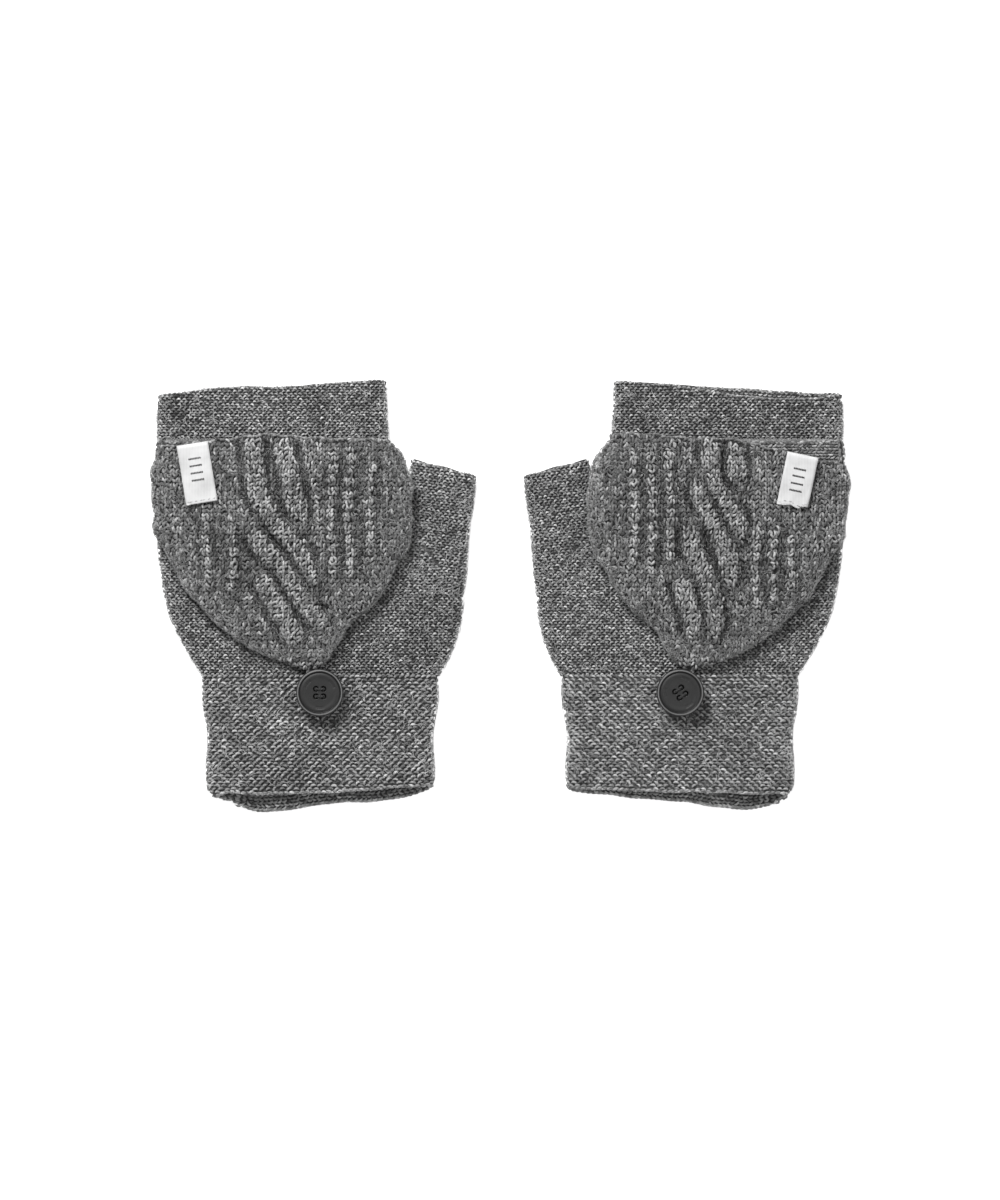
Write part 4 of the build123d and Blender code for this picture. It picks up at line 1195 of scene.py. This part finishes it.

# %% [markdown]
# The camera looks straight down from far away, so that the pair lies flat and undistorted. The light is
# one large soft window above and to the fingers' side, with an even white surround, over a plain pale
# floor.

# %% Camera, light and floor
VIEW_HEIGHT = 0.480     # what the picture takes in from top to bottom, at the mittens' level
CAMERA_HEIGHT, SUBJECT_LEVEL = 3.0, 0.008
SENSOR = 36.0
lens = bpy.data.cameras.new("camera")
lens.sensor_width = SENSOR
lens.lens = SENSOR * (CAMERA_HEIGHT - SUBJECT_LEVEL) / VIEW_HEIGHT
lens.clip_end = 20.0
camera = bpy.data.objects.new("camera", lens)
camera.location = (0.0, -0.0024, CAMERA_HEIGHT)
bpy.context.scene.collection.objects.link(camera)
bpy.context.scene.camera = camera
bpy.context.scene.view_settings.view_transform = "Standard"


def window(name, place, size, power):
    """A square area light at place, facing the middle of the pair."""
    light = bpy.data.lights.new(name, "AREA")
    light.size = size
    light.energy = power
    holder = bpy.data.objects.new(name, light)
    bpy.context.scene.collection.objects.link(holder)
    holder.location = place
    holder.rotation_euler = (-Vector(place)).to_track_quat("-Z", "Y").to_euler()
    return holder


window("key_window", (-0.5, 0.95, 1.05), 0.5, 26.0)
window("fill_window", (0.9, -0.2, 1.3), 1.0, 5.0)
world = bpy.data.worlds.new("studio")
world.use_nodes = True
world.node_tree.nodes["Background"].inputs["Color"].default_value = (1.0, 1.0, 1.0, 1.0)
world.node_tree.nodes["Background"].inputs["Strength"].default_value = 0.38
bpy.context.scene.world = world

# %% [markdown]
# ## Finishes
# The yarn is a melange: light and dark grey fibres spun together, brushed until it is soft. Its colour
# is worked out from three things: each stitch's own shade, fine flecks about a millimetre long and
# cloudy patches a few centimetres across. The shade also carries painted shade: dark on the backing
# between the stitches and in the cap's creases, with painted light on the cap's ridges. A little sheen
# stands for the fibre ends that catch light at the edges, and a very fine bump roughens the yarn.


# %% Materials
def nodes_for(name):
    """An empty material with a Principled shader, and short ways to add and join nodes."""
    material = bpy.data.materials.new(name)
    material.use_nodes = True
    tree = material.node_tree
    shader = tree.nodes["Principled BSDF"]

    def add(kind, **values):
        node = tree.nodes.new(kind)
        for key, value in values.items():
            if key in node.inputs:
                node.inputs[key].default_value = value
            else:
                setattr(node, key, value)
        return node

    return material, shader, add, tree.links.new


def ramp(add, stops):
    """A colour ramp of grey stops: (place, grey level)."""
    node = add("ShaderNodeValToRGB")
    elements = node.color_ramp.elements
    while len(elements) < len(stops):
        elements.new(0.5)
    for element, (place, grey) in zip(elements, stops):
        element.position = place
        element.color = (grey, grey, grey, 1.0)
    return node


def wool(name, dark, middle, light, fleck_size, cloud_size, shade_share, sheen):
    """Melange wool: a grey ramp over shade, flecks and clouds, sizes in metres."""
    material, shader, add, join = nodes_for(name)
    place = add("ShaderNodeTexCoord")
    fleck = add("ShaderNodeTexNoise", Scale=1 / fleck_size, Detail=3.0, Roughness=0.7)
    cloud = add("ShaderNodeTexNoise", Scale=1 / cloud_size, Detail=2.0, Roughness=0.55)
    fibre = add("ShaderNodeTexNoise", Scale=4 / fleck_size, Detail=2.0, Roughness=0.6)
    shade = add("ShaderNodeAttribute", attribute_name="shade")
    for texture in (fleck, cloud, fibre):
        join(place.outputs["Object"], texture.inputs["Vector"])
    own = add("ShaderNodeMath", operation="MULTIPLY")
    own.inputs[1].default_value = shade_share
    join(shade.outputs["Fac"], own.inputs[0])
    flecks = add("ShaderNodeMath", operation="MULTIPLY_ADD")
    flecks.inputs[1].default_value = 0.72 * (1 - shade_share)
    join(fleck.outputs["Fac"], flecks.inputs[0])
    join(own.outputs[0], flecks.inputs[2])
    total = add("ShaderNodeMath", operation="MULTIPLY_ADD")
    total.inputs[1].default_value = 0.28 * (1 - shade_share)
    join(cloud.outputs["Fac"], total.inputs[0])
    join(flecks.outputs[0], total.inputs[2])
    greys = ramp(add, [(0.30, dark), (0.5, middle), (0.70, light)])
    join(total.outputs[0], greys.inputs["Fac"])
    join(greys.outputs["Color"], shader.inputs["Base Color"])
    bump = add("ShaderNodeBump", Strength=0.6, Distance=0.0002)
    join(fibre.outputs["Fac"], bump.inputs["Height"])
    join(bump.outputs["Normal"], shader.inputs["Normal"])
    shader.inputs["Roughness"].default_value = 0.95
    shader.inputs["Specular IOR Level"].default_value = 0.15
    shader.inputs["Sheen Weight"].default_value = sheen
    shader.inputs["Sheen Roughness"].default_value = 0.45
    return material


def plastic():
    """Matt dark button plastic: a faint cloudiness, and a roughness that wanders a little."""
    material, shader, add, join = nodes_for("matt_plastic")
    place = add("ShaderNodeTexCoord")
    cloud = add("ShaderNodeTexNoise", Scale=260.0, Detail=4.0)
    grain = add("ShaderNodeTexNoise", Scale=5200.0, Detail=2.0)
    join(place.outputs["Object"], cloud.inputs["Vector"])
    join(place.outputs["Object"], grain.inputs["Vector"])
    # The shade attribute brings in the button's painted highlight on the rim and its painted shade in the
    # hollows.
    shade = add("ShaderNodeAttribute", attribute_name="shade")
    total = add("ShaderNodeMath", operation="MULTIPLY_ADD")
    total.inputs[1].default_value = 0.15
    join(cloud.outputs["Fac"], total.inputs[0])
    join(shade.outputs["Fac"], total.inputs[2])
    greys = ramp(add, [(0.1, 0.003), (0.48, 0.012), (0.62, 0.024), (1.0, 0.16)])
    join(total.outputs[0], greys.inputs["Fac"])
    join(greys.outputs["Color"], shader.inputs["Base Color"])
    rough = add("ShaderNodeMapRange")
    rough.inputs["To Min"].default_value = 0.42
    rough.inputs["To Max"].default_value = 0.55
    join(cloud.outputs["Fac"], rough.inputs["Value"])
    join(rough.outputs["Result"], shader.inputs["Roughness"])
    bump = add("ShaderNodeBump", Strength=0.25, Distance=0.00003)
    join(grain.outputs["Fac"], bump.inputs["Height"])
    join(bump.outputs["Normal"], shader.inputs["Normal"])
    return material


def thread(name, dark, light):
    """Sewing thread: fine flecks between two greys, with a soft sheen."""
    material, shader, add, join = nodes_for(name)
    place = add("ShaderNodeTexCoord")
    fleck = add("ShaderNodeTexNoise", Scale=2400.0, Detail=3.0)
    join(place.outputs["Object"], fleck.inputs["Vector"])
    greys = ramp(add, [(0.35, dark), (0.65, light)])
    join(fleck.outputs["Fac"], greys.inputs["Fac"])
    join(greys.outputs["Color"], shader.inputs["Base Color"])
    bump = add("ShaderNodeBump", Strength=0.5, Distance=0.00008)
    join(fleck.outputs["Fac"], bump.inputs["Height"])
    join(bump.outputs["Normal"], shader.inputs["Normal"])
    shader.inputs["Roughness"].default_value = 0.7
    shader.inputs["Sheen Weight"].default_value = 0.2
    return material


def ribbon():
    """White woven ribbon: two crossing waves make the weave."""
    material, shader, add, join = nodes_for("label_weave")
    place = add("ShaderNodeTexCoord")
    warp = add("ShaderNodeTexWave", Scale=520.0, Distortion=0.6)
    weft = add("ShaderNodeTexWave", Scale=640.0, Distortion=0.6, bands_direction="Y")
    cloud = add("ShaderNodeTexNoise", Scale=160.0, Detail=3.0)
    for texture in (warp, weft, cloud):
        join(place.outputs["Object"], texture.inputs["Vector"])
    weave = add("ShaderNodeMath", operation="ADD")
    join(warp.outputs["Fac"], weave.inputs[0])
    join(weft.outputs["Fac"], weave.inputs[1])
    tone = add("ShaderNodeMath", operation="MULTIPLY_ADD")
    tone.inputs[1].default_value = 0.25
    join(weave.outputs[0], tone.inputs[0])
    join(cloud.outputs["Fac"], tone.inputs[2])
    greys = ramp(add, [(0.4, 0.46), (0.9, 0.64)])
    join(tone.outputs[0], greys.inputs["Fac"])
    join(greys.outputs["Color"], shader.inputs["Base Color"])
    bump = add("ShaderNodeBump", Strength=0.35, Distance=0.00006)
    join(weave.outputs[0], bump.inputs["Height"])
    join(bump.outputs["Normal"], shader.inputs["Normal"])
    shader.inputs["Roughness"].default_value = 0.55
    shader.inputs["Sheen Weight"].default_value = 0.15
    return material


FINISHES = {
    "purl_wool": wool("hand_wool", 0.045, 0.25, 0.68, 0.0010, 0.022, 0.42, 0.25),
    "cuff_wool": wool("cuff_wool", 0.06, 0.28, 0.66, 0.0012, 0.022, 0.42, 0.25),
    "cap_wool": wool("cap_wool", 0.026, 0.138, 0.50, 0.0010, 0.016, 0.42, 0.4),
    "button_plastic": plastic(),
    "black_thread": thread("black_thread", 0.008, 0.03),
    "label_ribbon": ribbon(),
    "label_thread": thread("label_thread", 0.3, 0.55),
}

floor_mesh = bpy.data.meshes.new("floor")
reach = 3.0
floor_mesh.from_pydata([(-reach, -reach, 0), (reach, -reach, 0), (reach, reach, 0), (-reach, reach, 0)], [],
                       [(0, 1, 2, 3)])
floor = bpy.data.objects.new("floor", floor_mesh)
bpy.context.scene.collection.objects.link(floor)
material, shader, add, join = nodes_for("pale_floor")
place = add("ShaderNodeTexCoord")
grain = add("ShaderNodeTexNoise", Scale=30.0, Detail=2.0)
join(place.outputs["Object"], grain.inputs["Vector"])
greys = ramp(add, [(0.3, 0.93), (0.7, 0.96)])
join(grain.outputs["Fac"], greys.inputs["Fac"])
join(greys.outputs["Color"], shader.inputs["Base Color"])
shader.inputs["Roughness"].default_value = 0.9
shader.inputs["Emission Color"].default_value = (1.0, 1.0, 1.0, 1.0)
shader.inputs["Emission Strength"].default_value = 0.62
floor_mesh.materials.append(material)

# %% [markdown]
# ## Joining the pieces to the mitten
# Each piece but the cap's rides on the body it belongs to and stands for the CAD nodes it covers. The
# cap is fabric that crosses the mouth's joint; its pieces are set in place as they lie at rest and are
# not attached to a body.


# %% Bodies, nodes and finishes
def finish_piece(piece, slot):
    piece.data.materials.append(FINISHES[slot])


MOUTH_DEPTH = 6.0                  # the height between the points start and end at the mouth, which nothing below reads
for side in SIDES:
    for piece in HAND_PIECES[side]:
        finish_piece(piece, "purl_wool")
        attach(piece, f"{side}_hand")
    for piece in CUFF_PIECES[side]:
        finish_piece(piece, "cuff_wool")
        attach(piece, f"{side}_hand")
    finish_piece(SEAM_PIECES[side], "cap_wool")
    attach(SEAM_PIECES[side], f"{side}_hand")
    start = np.array([CENTRE[side], KNUCKLE_V, CAP_FLOOR + CAP_WALL]) * MM
    end = start + np.array([0.0, 0.4, MOUTH_DEPTH]) * MM
    for piece in CAP_PIECES[side]:
        finish_piece(piece, "cap_wool")
        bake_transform(piece)
    finish_piece(LOOP_PIECES[side], "cap_wool")
    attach(LOOP_PIECES[side], f"{side}_cap")
    finish_piece(BUTTON_PIECES[side], "button_plastic")
    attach(BUTTON_PIECES[side], f"{side}_fastener")
    for piece in THREAD_PIECES[side]:
        finish_piece(piece, "black_thread")
        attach(piece, f"{side}_fastener")
    finish_piece(LABEL_PIECES[side], "label_ribbon")
    finish_piece(LABEL_STITCHES[side], "label_thread")
    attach(LABEL_PIECES[side], f"{side}_cap_front")
    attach(LABEL_STITCHES[side], f"{side}_cap_front")
    finish_piece(LABEL_MARKS[side], "black_thread")
    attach(LABEL_MARKS[side], f"{side}_cap_front")
    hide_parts(f"{side}_hand_tube", f"{side}_thumb_seam")
    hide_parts(f"{side}_thumb_stall")
    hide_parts(f"{side}_wrist_cuff")
    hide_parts(f"{side}_cuff_seam")
    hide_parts(f"{side}_cap_lower", f"{side}_cap_upper")
    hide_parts(f"{side}_cap_hem")
    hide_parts(f"{side}_knuckle_seam")
    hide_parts(f"{side}_yarn_loop")
    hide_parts(f"{side}_button")
    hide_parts(f"{side}_button_thread")
    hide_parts(f"{side}_label")
    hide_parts(f"{side}_label_stitches")
    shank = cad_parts[f"{side}_thread_shank"]
    shank.data.materials.clear()
    shank.data.materials.append(FINISHES["black_thread"])

print("pieces:", len(made), "triangles:", sum(count for _, count in made))
print("largest:", sorted(made, key=lambda row: -row[1])[:4])
